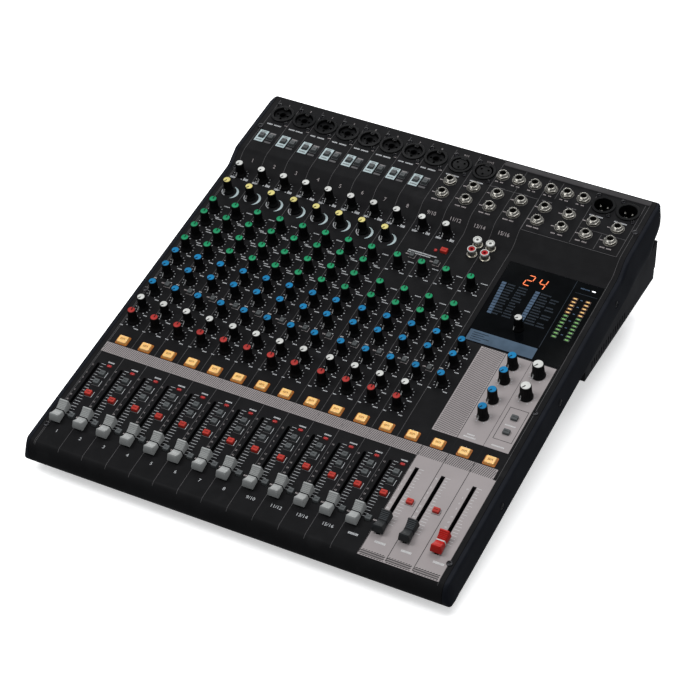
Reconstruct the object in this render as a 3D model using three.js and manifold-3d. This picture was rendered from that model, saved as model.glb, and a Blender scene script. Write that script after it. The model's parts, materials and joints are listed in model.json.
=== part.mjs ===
// A sixteen-input audio mixing console: a sloping control panel that steps up to an inclined jack deck,
// plastic side cheeks, a recessed metal bottom case, sliding faders, rotary knobs and latching buttons.
// Units are millimetres. X runs left to right, Y from front to rear, Z up. The origin is the middle of
// the base of the console's bounding box.

import * as THREE from 'three';
import * as BufferGeometryUtils from 'three/addons/utils/BufferGeometryUtils.js';
import Module from 'manifold-3d';

const wasm = await Module();
wasm.setup();

// ---- driving dimensions ---------------------------------------------------------------------------

const DEPTH = 500;
const FRONT_Y = -DEPTH / 2;
const REAR_Y = DEPTH / 2;
const COVER_HALF_WIDTH = 212.7;
const CHEEK_INNER_X = 213;
const CHEEK_OUTER_X = 222;
const CHEEK_TOP_X = 217.5;
const SHEET = 2;
const NOSE_LIP_Z = 10;
const GAP = 0.3;

// The control panel is a plane that starts at the front edge and rises to the rear.
const PANEL_SLOPE = 9.2 * Math.PI / 180;
const PANEL_FRONT_Z = 40.1;
const PANEL_FIRST_V = 7;
const PANEL_LAST_V = 405;

// The jack deck is a second plane behind the riser.
const DECK_SLOPE = 8.4 * Math.PI / 180;
const DECK_FRONT_Y = 160;
const DECK_FRONT_Z = 115.9;
const DECK_FIRST_W = 9;
const DECK_LAST_W = 84;

// The cheeks are a band of constant height that follows the panel.
const BAND_LOWER_Z = 15.4;
const BAND_SLOPE = 0.16;
const HOOD_UNDER_Y = 240;
const BASE_Z = 8.4;

// Channel columns.
const MONO_COUNT = 8;
const WIDE_COUNT = 8;
const KNOB_MONO = { first: -197.6, pitch: 25.4 };
const SLOT_MONO = { first: -201.2, pitch: 25.46 };
const ON_MONO = { first: -194.1, pitch: 25.3 };
const ASSIGN_X = -190.6;
const SLOT_WIDE = { first: 4.4, pitch: 26.17 };
const SLOT_MAIN_X = 192.6;

// Rows, measured along the panel from its front edge.
const ROW = {
  gain: 395.6, comp: 368.9, high: 339.1, mid_freq: 320.2, mid: 300, low: 280.1,
  aux_1: 261, aux_2: 241.2, aux_3: 214.9, fx: 192.1, pan: 173.2,
  on: 146.9, assign_1: 101.4, assign_2: 90, group: 75, listen: 43.9,
};
const FADER = { rest: 41.3, travel: 60, slotFrom: 32, slotTo: 113.2, slotWidth: 3.2 };

// Controls of the output section.
const AUX_MASTER_X = 165.1;
const AUX_MASTER_ROWS = [260.4, 240.7, 214.6, 192.6];
const LEVEL_X = 191.9;
const PHONES_LEVEL_V = 259.5;
const MONITOR_LEVEL_V = 230.6;
const DISPLAY = { x0: 107.3, x1: 206, v0: 274.9, v1: 386.6 };
const PROGRAM = { x: 150.8, v: 306.9 };
const PHANTOM = { x: 41.6, v: 374 };
const RCA_X = [68.7, 82.6];
const RCA_V = [380.4, 394.3];

// Sockets on the jack deck, with w measured along the deck from its front edge.
const XLR = { monoFirst: -194.4, monoPitch: 25.15, w: 67.6, bore: 11.8, body: 11.4, flange: 12.3 };
const XLR_INPUT_X = [8.9, 35.4];
const XLR_OUTPUT_X = [164.9, 191];
const JACK_PAIR = { first: 9.4, pitch: 25.83, count: 8, wFront: 22.7, wRear: 42 };
const JACK_ROW = { first: 55.5, pitch: 17.5, count: 6, w: 69 };
const PAD_BUTTON = { x: -199, w: 30.7 };
const FILTER_BUTTON = { x: -189.1, w: 29.8 };

// ---- materials ------------------------------------------------------------------------------------

function material(color, roughness, metalness) {
  return new THREE.MeshStandardMaterial({ color, roughness, metalness });
}

const paint = {
  cover: material(0x1b1c1f, 0.55, 0.3),
  cheek: material(0x232428, 0.6, 0),
  steel: material(0x1a1b1d, 0.5, 0.6),
  rubber: material(0x101010, 0.9, 0),
  glass: material(0x050608, 0.1, 0),
  board: material(0x1f4a30, 0.6, 0),
  silver: material(0xb8babd, 0.3, 0.9),
  knob: material(0x141414, 0.6, 0),
  lightCap: material(0xb9bab8, 0.5, 0),
  darkCap: material(0x3f4145, 0.5, 0),
  redCap: material(0xc0282b, 0.5, 0),
  amber: material(0xf0c46a, 0.4, 0),
  grey: material(0x6f7478, 0.5, 0),
  red: material(0xd23b34, 0.45, 0),
};

// ---- solids ---------------------------------------------------------------------------------------

function solid(geometry) {
  const bare = geometry.clone();
  bare.deleteAttribute('normal');
  bare.deleteAttribute('uv');
  const merged = BufferGeometryUtils.mergeVertices(bare, 1e-4);
  return new wasm.Manifold(new wasm.Mesh({
    numProp: 3,
    vertProperties: new Float32Array(merged.attributes.position.array),
    triVerts: new Uint32Array(merged.index.array),
  }));
}

function geometryOf(manifold) {
  const mesh = manifold.getMesh();
  const geometry = new THREE.BufferGeometry();
  geometry.setAttribute('position', new THREE.BufferAttribute(new Float32Array(mesh.vertProperties), 3));
  geometry.setIndex(new THREE.BufferAttribute(new Uint32Array(mesh.triVerts), 1));
  return geometry;
}

function unite(first, ...rest) {
  return rest.reduce((sum, piece) => sum.add(piece), first);
}

function cut(body, ...tools) {
  return tools.reduce((left, tool) => left.subtract(tool), body);
}

function block(x0, x1, y0, y1, z0, z1) {
  const geometry = new THREE.BoxGeometry(x1 - x0, y1 - y0, z1 - z0);
  geometry.translate((x0 + x1) / 2, (y0 + y1) / 2, (z0 + z1) / 2);
  return geometry;
}

// A round bar along local Z.
function bar(x, y, radius, z0, z1, sides = 12) {
  const geometry = new THREE.CylinderGeometry(radius, radius, z1 - z0, sides);
  geometry.rotateX(Math.PI / 2);
  geometry.translate(x, y, (z0 + z1) / 2);
  return geometry;
}

// A body of revolution about local Z from [radius, height] pairs.
function turned(profile, sides = 14) {
  const geometry = new THREE.LatheGeometry(profile.map(([r, h]) => new THREE.Vector2(r, h)), sides);
  geometry.rotateX(Math.PI / 2);
  return geometryOf(solid(geometry));
}

// An outline in the side view, as [y, z] points, extruded from x0 to x1.
function sideExtrusion(points, x0, x1) {
  const shape = new THREE.Shape(points.map(([y, z]) => new THREE.Vector2(y, z)));
  const geometry = new THREE.ExtrudeGeometry(shape, { depth: x1 - x0, bevelEnabled: false });
  const axes = new THREE.Matrix4().makeBasis(
    new THREE.Vector3(0, 1, 0), new THREE.Vector3(0, 0, 1), new THREE.Vector3(1, 0, 0));
  geometry.applyMatrix4(axes);
  geometry.translate(x0, 0, 0);
  return geometry;
}

// ---- frames of the two sloping surfaces -----------------------------------------------------------

const panelFrame = new THREE.Matrix4().makeRotationX(PANEL_SLOPE).setPosition(0, FRONT_Y, PANEL_FRONT_Z);
const deckFrame = new THREE.Matrix4().makeRotationX(DECK_SLOPE).setPosition(0, DECK_FRONT_Y, DECK_FRONT_Z);

function onPanel(geometry) {
  return geometry.applyMatrix4(panelFrame);
}

function onDeck(geometry) {
  return geometry.applyMatrix4(deckFrame);
}

function panelPoint(v, h = 0) {
  const p = new THREE.Vector3(0, v, h).applyMatrix4(panelFrame);
  return [p.y, p.z];
}

function deckPoint(w, h = 0) {
  const p = new THREE.Vector3(0, w, h).applyMatrix4(deckFrame);
  return [p.y, p.z];
}

function bandLowerZ(y) {
  return BAND_LOWER_Z + BAND_SLOPE * (y - FRONT_Y);
}

// ---- side profile of the top ----------------------------------------------------------------------

function curvePoints(start, pull1, pull2, end, steps) {
  const curve = new THREE.CubicBezierCurve(...[start, pull1, pull2, end].map(([y, z]) => new THREE.Vector2(y, z)));
  return curve.getPoints(steps).map((p) => [p.x, p.y]);
}

// The outer skin from the lower lip of the nose, over panel, riser and deck, to the lip of the rear hood.
// inset moves the whole skin inwards to give the sheet its thickness.
function skinPath(inset) {
  const noseTop = panelPoint(PANEL_FIRST_V, -inset);
  const noseFront = [FRONT_Y + inset, PANEL_FRONT_Z - 13.7];
  const lip = [FRONT_Y + 10, NOSE_LIP_Z + inset];
  const riserFoot = panelPoint(PANEL_LAST_V - 5, -inset);
  const riserHead = deckPoint(DECK_FIRST_W, -inset);
  const hoodTop = deckPoint(DECK_LAST_W, -inset);
  const hoodBack = [REAR_Y - inset, 114.4];
  const hoodLip = [REAR_Y - inset, 100.4 + inset * 0.5];
  const nose = [
    ...curvePoints(lip, [lip[0] - 6, lip[1]], [noseFront[0], 16.4], noseFront, 4),
    ...curvePoints(noseFront, [noseFront[0], 34.4], [noseTop[0] - 4, noseTop[1] - 0.7], noseTop, 5).slice(1),
  ];
  const riser = curvePoints(riserFoot, [riserFoot[0] + 11, riserFoot[1] + 1.8],
    [riserHead[0] - 10, riserHead[1] - 1.4], riserHead, 8);
  const hood = curvePoints(hoodTop, [hoodTop[0] + 7, hoodTop[1] + 1], [hoodBack[0], 123.4 - inset], hoodBack, 5);
  return [...nose, ...riser, ...hood, hoodLip, [HOOD_UNDER_Y, bandLowerZ(HOOD_UNDER_Y) + inset]];
}

function closedOutline(inset, closing) {
  return [...skinPath(inset), ...closing];
}

// ---- positions of everything that passes through the top cover ------------------------------------

const stripKnobs = [
  ['gain_knob', ROW.gain], ['compressor_knob', ROW.comp], ['high_eq_knob', ROW.high],
  ['mid_frequency_knob', ROW.mid_freq], ['mid_eq_knob', ROW.mid], ['low_eq_knob', ROW.low],
  ['aux_1_knob', ROW.aux_1], ['aux_2_knob', ROW.aux_2], ['aux_3_knob', ROW.aux_3],
  ['effect_send_knob', ROW.fx], ['pan_knob', ROW.pan],
].map(([name, v]) => ({ name, x: KNOB_MONO.first, v, scale: 1 }));

const masterKnobs = [
  ...AUX_MASTER_ROWS.map((v, i) => ({ name: `aux_master_knob_${i + 1}`, x: AUX_MASTER_X, v, scale: 1 })),
  { name: 'phones_level_knob', x: LEVEL_X, v: PHONES_LEVEL_V, scale: 1.3 },
  { name: 'monitor_level_knob', x: LEVEL_X, v: MONITOR_LEVEL_V, scale: 1.3 },
];
const programKnob = { name: 'program_knob', x: PROGRAM.x, v: PROGRAM.v, scale: 1 };

const SMALL_BUTTON = { width: 5.6, depth: 5.6, height: 3 };
const panelButtons = [
  { name: 'on_button', x: ON_MONO.first, v: ROW.on, width: 10.4, depth: 9, height: 4.4, look: 'amber' },
  { name: 'group_button', x: ASSIGN_X, v: ROW.group, ...SMALL_BUTTON, width: 6.4, depth: 6.4, look: 'red' },
  { name: 'assign_button_1', x: ASSIGN_X, v: ROW.assign_1, ...SMALL_BUTTON, look: 'grey' },
  { name: 'assign_button_2', x: ASSIGN_X, v: ROW.assign_2, ...SMALL_BUTTON, look: 'grey' },
  { name: 'listen_button', x: ASSIGN_X, v: ROW.listen, ...SMALL_BUTTON, look: 'grey' },
  { name: 'phantom_power_button', x: PHANTOM.x, v: PHANTOM.v, ...SMALL_BUTTON, width: 7, look: 'red' },
];
const deckButtons = [
  { name: 'pad_button', x: PAD_BUTTON.x, v: PAD_BUTTON.w, ...SMALL_BUTTON, look: 'grey' },
  { name: 'low_cut_button', x: FILTER_BUTTON.x, v: FILTER_BUTTON.w, ...SMALL_BUTTON, look: 'grey' },
];

function columns({ first, pitch }, count) {
  return Array.from({ length: count }, (_, i) => first + pitch * i);
}

const faders = [
  ...columns(SLOT_MONO, MONO_COUNT).map((x, i) => ({ name: `fader_channel_${i + 1}`, x, look: 'lightCap' })),
  ...['9_10', '11_12', '13_14', '15_16', 'effect_return', 'group_1_2', 'group_3_4'].map((label, i) => ({
    name: `fader_${label}`,
    x: SLOT_WIDE.first + SLOT_WIDE.pitch * i,
    look: i < WIDE_COUNT - 3 ? 'lightCap' : 'darkCap',
  })),
  { name: 'fader_main', x: SLOT_MAIN_X, look: 'redCap' },
];

const combos = columns({ first: XLR.monoFirst, pitch: XLR.monoPitch }, MONO_COUNT).map((x) => [x, XLR.w]);
const xlrInputs = XLR_INPUT_X.map((x) => [x, XLR.w]);
const xlrOutputs = XLR_OUTPUT_X.map((x) => [x, XLR.w]);
const rowJacks = columns(JACK_ROW, JACK_ROW.count).map((x) => [x, JACK_ROW.w]);
const pairedJacks = columns(JACK_PAIR, JACK_PAIR.count)
  .flatMap((x) => [[x, JACK_PAIR.wFront], [x, JACK_PAIR.wRear]]);
const rcaSpots = RCA_X.flatMap((x) => RCA_V.map((v) => [x, v]));

// ---- top cover ------------------------------------------------------------------------------------

const SHAFT_HOLE = 3.7;
const BUTTON_CLEARANCE = 0.6;

function holeBlock({ x, v, width, depth }) {
  const a = width / 2 + BUTTON_CLEARANCE;
  const b = depth / 2 + BUTTON_CLEARANCE;
  return block(x - a, x + a, v - b, v + b, -6, 6);
}

function topCover() {
  const outline = closedOutline(0, [...skinPath(SHEET)].reverse());
  let body = solid(sideExtrusion(outline, -COVER_HALF_WIDTH, COVER_HALF_WIDTH));
  const panelTools = [
    ...faders.map(({ x }) => block(x - FADER.slotWidth / 2, x + FADER.slotWidth / 2,
      FADER.slotFrom, FADER.slotTo, -6, 6)),
    ...[...stripKnobs, ...masterKnobs].map(({ x, v }) => bar(x, v, SHAFT_HOLE, -6, 6, 10)),
    ...panelButtons.map(holeBlock),
    ...rcaSpots.map(([x, v]) => bar(x, v, 5, -6, 6, 12)),
    block(DISPLAY.x0 - GAP, DISPLAY.x1 + GAP, DISPLAY.v0 - GAP, DISPLAY.v1 + GAP, -6, 6),
  ];
  const deckTools = [
    ...[...rowJacks, ...pairedJacks].map(([x, w]) => bar(x, w, 5, -6, 6, 8)),
    ...[...combos, ...xlrInputs, ...xlrOutputs].map(([x, w]) => bar(x, w, XLR.bore, -6, 6, 14)),
    ...deckButtons.map(holeBlock),
  ];
  body = cut(body, ...panelTools.map((tool) => solid(onPanel(tool))));
  return geometryOf(cut(body, ...deckTools.map((tool) => solid(onDeck(tool)))));
}

// ---- side cheeks ----------------------------------------------------------------------------------

// The wedge outside a face that leans out from CHEEK_TOP_X at the surface to CHEEK_OUTER_X at depth.
function flareTool(from, to, depth) {
  const shape = new THREE.Shape([
    new THREE.Vector2(CHEEK_TOP_X - 2, 8), new THREE.Vector2(CHEEK_TOP_X - 2, 0.5),
    new THREE.Vector2(CHEEK_TOP_X, -1.5), new THREE.Vector2(CHEEK_OUTER_X, -depth),
    new THREE.Vector2(CHEEK_OUTER_X + 6, -depth), new THREE.Vector2(CHEEK_OUTER_X + 6, 8),
  ]);
  const geometry = new THREE.ExtrudeGeometry(shape, { depth: to - from, bevelEnabled: false });
  geometry.rotateX(Math.PI / 2);
  geometry.translate(0, to, 0);
  return geometry;
}

function cheek(side) {
  const closing = [[HOOD_UNDER_Y - 6, bandLowerZ(HOOD_UNDER_Y - 6)], [FRONT_Y + 16, bandLowerZ(FRONT_Y + 16)]];
  let body = solid(sideExtrusion(closedOutline(0, closing), CHEEK_INNER_X, CHEEK_OUTER_X));
  body = cut(body, solid(onPanel(flareTool(-20, 410, 24))), solid(onDeck(flareTool(-9, 110, 30))));
  const geometry = geometryOf(body);
  if (side < 0) {
    geometry.scale(-1, 1, 1);
    const index = geometry.index.array;
    for (let i = 0; i < index.length; i += 3) [index[i + 1], index[i + 2]] = [index[i + 2], index[i + 1]];
  }
  return geometry;
}

// ---- bottom case ----------------------------------------------------------------------------------

const BOX_FRONT_Y = 58;
const BOX_SIDE_X = 219.5;
const BOX_BOTTOM_Z = 45.4;
const TUB_BASE_X = 188;
const TUB_LEAN = 1.6;
const CASE_FRONT_Y = FRONT_Y + 14;
const CASE_REAR_Y = HOOD_UNDER_Y - 1;
const WALL = 2;

// The tub below the cheeks: its sides lean out from a narrower base.
function tub(inset, topRaise) {
  const rim = (y) => bandLowerZ(y) - GAP - 0.4 + topRaise;
  const side = sideExtrusion([
    [CASE_FRONT_Y + inset, rim(CASE_FRONT_Y) - 2], [CASE_FRONT_Y + inset + 10, BASE_Z + inset],
    [CASE_REAR_Y - 14, BASE_Z + inset], [CASE_REAR_Y - inset, BASE_Z + 14],
    [CASE_REAR_Y - inset, rim(CASE_REAR_Y)], [CASE_FRONT_Y + inset, rim(CASE_FRONT_Y)],
  ], -CHEEK_OUTER_X, CHEEK_OUTER_X);
  const half = (z) => TUB_BASE_X - inset * 1.2 + (z - BASE_Z) / TUB_LEAN;
  const section = new THREE.Shape([
    new THREE.Vector2(-half(0), 0), new THREE.Vector2(half(0), 0),
    new THREE.Vector2(half(60), 60), new THREE.Vector2(half(60), 140),
    new THREE.Vector2(-half(60), 140), new THREE.Vector2(-half(60), 60),
  ]);
  const prism = new THREE.ExtrudeGeometry(section, { depth: DEPTH, bevelEnabled: false });
  prism.rotateX(Math.PI / 2);
  prism.translate(0, REAR_Y, 0);
  return solid(side).intersect(solid(prism));
}

// The deeper rear part, flush with the cheeks.
function rearBox(inset, topRaise) {
  const rim = (y) => bandLowerZ(y) - GAP - 0.4 + topRaise;
  return solid(sideExtrusion([
    [BOX_FRONT_Y + inset, BOX_BOTTOM_Z + inset], [CASE_REAR_Y - inset, BOX_BOTTOM_Z + inset],
    [CASE_REAR_Y - inset, rim(CASE_REAR_Y)], [BOX_FRONT_Y + inset, rim(BOX_FRONT_Y)],
  ], -BOX_SIDE_X + inset, BOX_SIDE_X - inset));
}

const INLET = { x: -150, z: 66, width: 27, height: 20 };
const SWITCH = { x: -112, z: 66, width: 13, height: 19 };
const VENT = { count: 15, firstY: 74, pitch: 6, width: 2.2, z0: 50, z1: 60 };

function rearWindow({ x, z, width, height }) {
  return block(x - width / 2 - GAP, x + width / 2 + GAP, CASE_REAR_Y - 8, CASE_REAR_Y + 4,
    z - height / 2 - GAP, z + height / 2 + GAP);
}

function bottomCase() {
  const outer = tub(0, 0).add(rearBox(0, 0));
  const inner = tub(WALL, 10).add(rearBox(WALL, 10));
  let body = outer.subtract(inner);
  for (let i = 0; i < VENT.count; i += 1) {
    const y = VENT.firstY + VENT.pitch * i;
    body = body.subtract(solid(block(-CHEEK_OUTER_X, CHEEK_OUTER_X, y, y + VENT.width, VENT.z0, VENT.z1)));
  }
  body = cut(body, solid(rearWindow(INLET)), solid(rearWindow(SWITCH)));
  return geometryOf(body);
}

// ---- rear fittings --------------------------------------------------------------------------------

// A C14 inlet: a flanged shell with an open well and three flat pins.
function acInlet() {
  const { width: w, height: h } = INLET;
  let body = solid(block(-w / 2, w / 2, -22, -1, -h / 2, h / 2));
  body = body.add(solid(block(-w / 2 - 3, w / 2 + 3, 0.3, 2.4, -h / 2 - 3, h / 2 + 3)));
  body = body.add(solid(block(-w / 2, w / 2, -2, 1, -h / 2, h / 2)));
  body = body.subtract(solid(block(-w / 2 + 2.2, w / 2 - 2.2, -16, 4, -h / 2 + 2.4, h / 2 - 2.4)));
  for (const [x, z] of [[-7, -2.5], [0, 2.5], [7, -2.5]]) {
    body = body.add(solid(block(x - 1, x + 1, -18, -2, z - 2, z + 2)));
  }
  return geometryOf(body);
}

function rocker() {
  const { width: w, height: h } = SWITCH;
  return sideExtrusion([
    [-6, -h / 2 + 1.5], [0.6, -h / 2 + 1.5], [1.4, 0], [3.2, h / 2 - 1.5], [-6, h / 2 - 1.5],
  ], -w / 2 + 1, w / 2 - 1);
}

// ---- boards and sockets ---------------------------------------------------------------------------

const BOARD = { h: -17, thickness: 1.6 };

function pot(x, v, scale) {
  const r = 4.8 * scale;
  return block(x - r, x + r, v - r, v + r, BOARD.h, BOARD.h + 7.5);
}

function controlBoard() {
  let body = solid(block(-208, 208, 160, 400, BOARD.h - BOARD.thickness, BOARD.h + 0.1));
  const knobs = [...stripKnobs, ...masterKnobs, programKnob];
  for (const { x, v, scale } of knobs) body = body.add(solid(pot(x, v, scale)));
  for (const { x, v } of knobs) body = body.subtract(solid(bar(x, v, SHAFT_HOLE, BOARD.h + 2, 0, 10)));
  for (const [x, v] of rcaSpots) body = body.subtract(solid(block(x - 8, x + 8, v - 8, v + 8, -30, 0)));
  return geometryOf(body);
}

function faderBoard() {
  let body = solid(block(-208, 208, 24, 156, -21, -19.4));
  for (const { x } of faders) {
    body = body.add(solid(block(x - 4.5, x + 4.5, FADER.slotFrom - 4, FADER.slotTo + 4, -20, -8)));
  }
  for (const { x } of faders) {
    body = body.subtract(solid(block(x - 1.6, x + 1.6, FADER.slotFrom, FADER.slotTo, -17, 0)));
  }
  return geometryOf(body);
}

const SOCKET_BOARD_H = -27;

const JACK = { sleeve: 4.6, nut: 6.6, bore: 3.5, nutTop: 2.6, top: 5 };

// A threaded sleeve with its nut above the deck and a blind bore for the plug.
function phoneJack(x, w) {
  return solid(turned([
    [0, SOCKET_BOARD_H], [JACK.sleeve, SOCKET_BOARD_H], [JACK.sleeve, 0.4], [JACK.nut, 0.4],
    [JACK.nut, JACK.nutTop], [JACK.sleeve, JACK.nutTop], [JACK.sleeve, JACK.top], [JACK.bore, JACK.top],
    [JACK.bore, SOCKET_BOARD_H + 3], [0, SOCKET_BOARD_H + 3],
  ], 8)).translate(x, w, 0);
}

// A round connector shell with a flange on the deck and a well of the given radius and floor.
function xlrShell(x, w, well, floor) {
  return solid(turned([
    [0, SOCKET_BOARD_H], [XLR.body, SOCKET_BOARD_H], [XLR.body, 0.4], [XLR.flange, 0.4],
    [XLR.flange, 1.8], [well, 1.8], [well, floor], [0, floor],
  ], 14)).translate(x, w, 0);
}

function comboSocket(x, w) {
  return xlrShell(x, w, 9.2, -12);
}

function femaleSocket(x, w) {
  const insert = solid(bar(x, w, 7.4, -5, 0.6, 14));
  const holes = [90, 210, 330].map((degrees) => {
    const angle = degrees * Math.PI / 180;
    return solid(bar(x + 3.8 * Math.cos(angle), w + 3.8 * Math.sin(angle), 1.4, -10, 3, 6));
  });
  return cut(unite(xlrShell(x, w, 9.4, -4), insert), ...holes);
}

function maleSocket(x, w) {
  const pins = [90, 210, 330].map((degrees) => {
    const angle = degrees * Math.PI / 180;
    return solid(bar(x + 3.8 * Math.cos(angle), w + 3.8 * Math.sin(angle), 1.2, -18, -6, 6));
  });
  return unite(xlrShell(x, w, 9.4, -17), ...pins);
}

// A circuit board under the deck with the sockets that stand on it.
function socketBoard(x0, x1, w0, w1, sockets) {
  const plate = solid(block(x0, x1, w0, w1, SOCKET_BOARD_H - BOARD.thickness, SOCKET_BOARD_H + 0.1));
  return geometryOf(unite(plate, ...sockets));
}

function inputSocketBoard() {
  return socketBoard(-207, -5, 54, 82, combos.map(([x, w]) => comboSocket(x, w)));
}

function lineSocketBoard() {
  return socketBoard(2, 206, 12, 52, pairedJacks.map(([x, w]) => phoneJack(x, w)));
}

function outputSocketBoard() {
  return socketBoard(-4, 206, 54, 82, [
    ...rowJacks.map(([x, w]) => phoneJack(x, w)),
    ...xlrInputs.map(([x, w]) => femaleSocket(x, w)),
    ...xlrOutputs.map(([x, w]) => maleSocket(x, w)),
  ]);
}

// Four phono sockets moulded on one block below the panel.
function rcaBlock() {
  const [xa, xb] = RCA_X;
  const [va, vb] = RCA_V;
  let body = solid(block(xa - 6.5, xb + 6.5, va - 6.5, vb + 6.5, -14, -SHEET - 0.6));
  for (const [x, v] of rcaSpots) {
    body = body.add(solid(bar(x, v, 4.2, -SHEET - 2, 8.5, 12)));
    body = body.subtract(solid(bar(x, v, 1.6, -8, 10, 8)));
  }
  return geometryOf(body);
}

function displayWindow() {
  const plate = solid(block(DISPLAY.x0, DISPLAY.x1, DISPLAY.v0, DISPLAY.v1, -SHEET, 0.2));
  return geometryOf(plate.subtract(solid(bar(PROGRAM.x, PROGRAM.v, SHAFT_HOLE, -6, 6, 10))));
}

function powerSupply() {
  return geometryOf(unite(
    solid(block(-170, -60, 118, 212, 12, 14)),
    solid(block(-160, -120, 128, 168, 13, 46)),
    solid(block(-112, -92, 130, 190, 13, 40)),
    solid(bar(-76, 150, 9, 13, 42, 14)),
    solid(bar(-76, 176, 9, 13, 42, 14)),
  ));
}

// ---- moving controls ------------------------------------------------------------------------------

// A skirted knob with its shaft, standing on the panel.
function knobGeometry(scale) {
  const r = scale;
  return turned([
    [0, BOARD.h + 4], [3, BOARD.h + 4], [3, 0.6], [6 * r, 0.6], [6 * r, 1.6],
    [4.9 * r, 3.6], [4.25 * r, 16.4], [0, 16.4],
  ], 12);
}

// A fader cap: a saddle with raised ends on a thin blade that reaches down through the slot.
function faderGeometry() {
  const half = 11;
  const top = [];
  const steps = 10;
  for (let i = 0; i <= steps; i += 1) {
    const t = (i / steps) * 2 - 1;
    top.push([t * (half - 1.6), 8.2 + 3.9 * t * t]);
  }
  const outline = [[-half, 3], [half, 3], [half - 0.6, 9.2], ...top.reverse(), [-half + 0.6, 9.2]];
  const cap = solid(sideExtrusion(outline, -5.4, 5.4));
  const blade = solid(block(-0.7, 0.7, -4, 4, -14, 4));
  return geometryOf(cap.add(blade));
}

// A square latching key with a chamfered top and a plunger below.
function buttonGeometry({ width, depth, height }) {
  const a = width / 2;
  const b = depth / 2;
  const key = new THREE.CylinderGeometry(Math.SQRT1_2 * 2 - 0.28, Math.SQRT2, 1, 4, 1);
  key.rotateX(Math.PI / 2);
  key.rotateZ(Math.PI / 4);
  key.scale(a, b, 1);
  key.translate(0, 0, height - 0.5);
  const skirt = solid(block(-a, a, -b, b, -1.6, height - 1));
  return geometryOf(unite(skirt, solid(key), solid(block(-1.6, 1.6, -1.6, 1.6, -9, 0))));
}

// ---- assembly -------------------------------------------------------------------------------------

const assembly = new THREE.Group();

function place(parent, name, geometry, look, x = 0, y = 0, z = 0) {
  const mesh = new THREE.Mesh(geometry, look);
  mesh.name = name;
  mesh.position.set(x, y, z);
  parent.add(mesh);
}

function slopingGroup(slope, y, z) {
  const group = new THREE.Group();
  group.position.set(0, y, z);
  group.rotation.x = slope;
  assembly.add(group);
  return group;
}

const panel = slopingGroup(PANEL_SLOPE, FRONT_Y, PANEL_FRONT_Z);
const deck = slopingGroup(DECK_SLOPE, DECK_FRONT_Y, DECK_FRONT_Z);

place(assembly, 'top_cover', topCover(), paint.cover);
place(assembly, 'left_cheek', cheek(-1), paint.cheek);
place(assembly, 'right_cheek', cheek(1), paint.cheek);
place(assembly, 'bottom_case', bottomCase(), paint.steel);
place(assembly, 'ac_inlet', acInlet(), paint.rubber, INLET.x, CASE_REAR_Y, INLET.z);
place(assembly, 'power_switch', rocker(), paint.knob, SWITCH.x, CASE_REAR_Y, SWITCH.z);
place(assembly, 'power_supply', powerSupply(), paint.silver);

const FOOT = { x: 150, frontY: -190, rearY: 190, radius: 10 };
const feet = [[-1, FOOT.frontY], [1, FOOT.frontY], [-1, FOOT.rearY], [1, FOOT.rearY]];
feet.forEach(([side, y], i) => {
  place(assembly, `foot_${i + 1}`, bar(0, 0, FOOT.radius, 0, BASE_Z - GAP, 16), paint.rubber, side * FOOT.x, y);
});

place(panel, 'control_board', controlBoard(), paint.board);
place(panel, 'fader_board', faderBoard(), paint.board);
place(panel, 'phono_sockets', rcaBlock(), paint.silver);
place(panel, 'display_window', displayWindow(), paint.glass);
place(deck, 'input_socket_board', inputSocketBoard(), paint.silver);
place(deck, 'line_socket_board', lineSocketBoard(), paint.silver);
place(deck, 'output_socket_board', outputSocketBoard(), paint.silver);

for (const { name, x, v, scale } of [...stripKnobs, ...masterKnobs, programKnob]) {
  place(panel, name, knobGeometry(scale), paint.knob, x, v);
}
for (const { name, x, look } of faders) {
  place(panel, name, faderGeometry(), paint[look], x, FADER.rest);
}
for (const button of panelButtons) {
  place(panel, button.name, buttonGeometry(button), paint[button.look], button.x, button.v);
}
for (const button of deckButtons) {
  place(deck, button.name, buttonGeometry(button), paint[button.look], button.x, button.v);
}

export default assembly;
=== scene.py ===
"""Looks of a sixteen-input mixing console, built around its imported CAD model.

Shapes are made in millimetres in the shared frame and scaled to metres when a piece is finished. The
control panel and the jack deck are two sloping planes: x runs across them, s along them from the
front, and h out of them.
"""

import json
import math
import random

import bmesh
import bpy
from mathutils import Matrix, Vector


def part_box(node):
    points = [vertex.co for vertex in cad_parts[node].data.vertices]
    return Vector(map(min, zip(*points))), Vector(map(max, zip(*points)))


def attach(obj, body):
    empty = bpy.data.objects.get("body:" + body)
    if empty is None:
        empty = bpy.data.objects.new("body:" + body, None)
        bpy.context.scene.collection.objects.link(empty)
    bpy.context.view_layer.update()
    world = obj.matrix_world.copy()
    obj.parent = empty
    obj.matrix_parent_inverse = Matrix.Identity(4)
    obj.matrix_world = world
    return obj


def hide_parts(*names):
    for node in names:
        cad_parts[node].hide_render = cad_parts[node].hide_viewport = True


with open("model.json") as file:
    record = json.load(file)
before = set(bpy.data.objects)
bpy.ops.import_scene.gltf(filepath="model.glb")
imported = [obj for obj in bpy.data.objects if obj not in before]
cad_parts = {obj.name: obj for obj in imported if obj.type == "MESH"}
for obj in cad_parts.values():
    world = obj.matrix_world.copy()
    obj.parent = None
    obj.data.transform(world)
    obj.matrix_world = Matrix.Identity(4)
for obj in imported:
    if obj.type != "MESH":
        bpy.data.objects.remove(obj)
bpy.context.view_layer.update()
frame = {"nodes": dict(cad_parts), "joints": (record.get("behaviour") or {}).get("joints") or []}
rng = random.Random(7)

MM = 0.001
FRONT_Y, HOOD_Y = -250.0, 252.0
COVER_HALF_WIDTH = 212.7
CHEEK_INNER_X, CHEEK_TOP_X, CHEEK_OUTER_X = 213.0, 217.5, 222.0
SHEET = 2.0


# ---- camera

AZIMUTH, ELEVATION = math.radians(26.65), math.radians(39.32)
CAMERA_TARGET, CAMERA_DISTANCE, LENS = Vector((6.96, -18.37, 62.4)) * MM, 2.34045, 125.4


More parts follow.
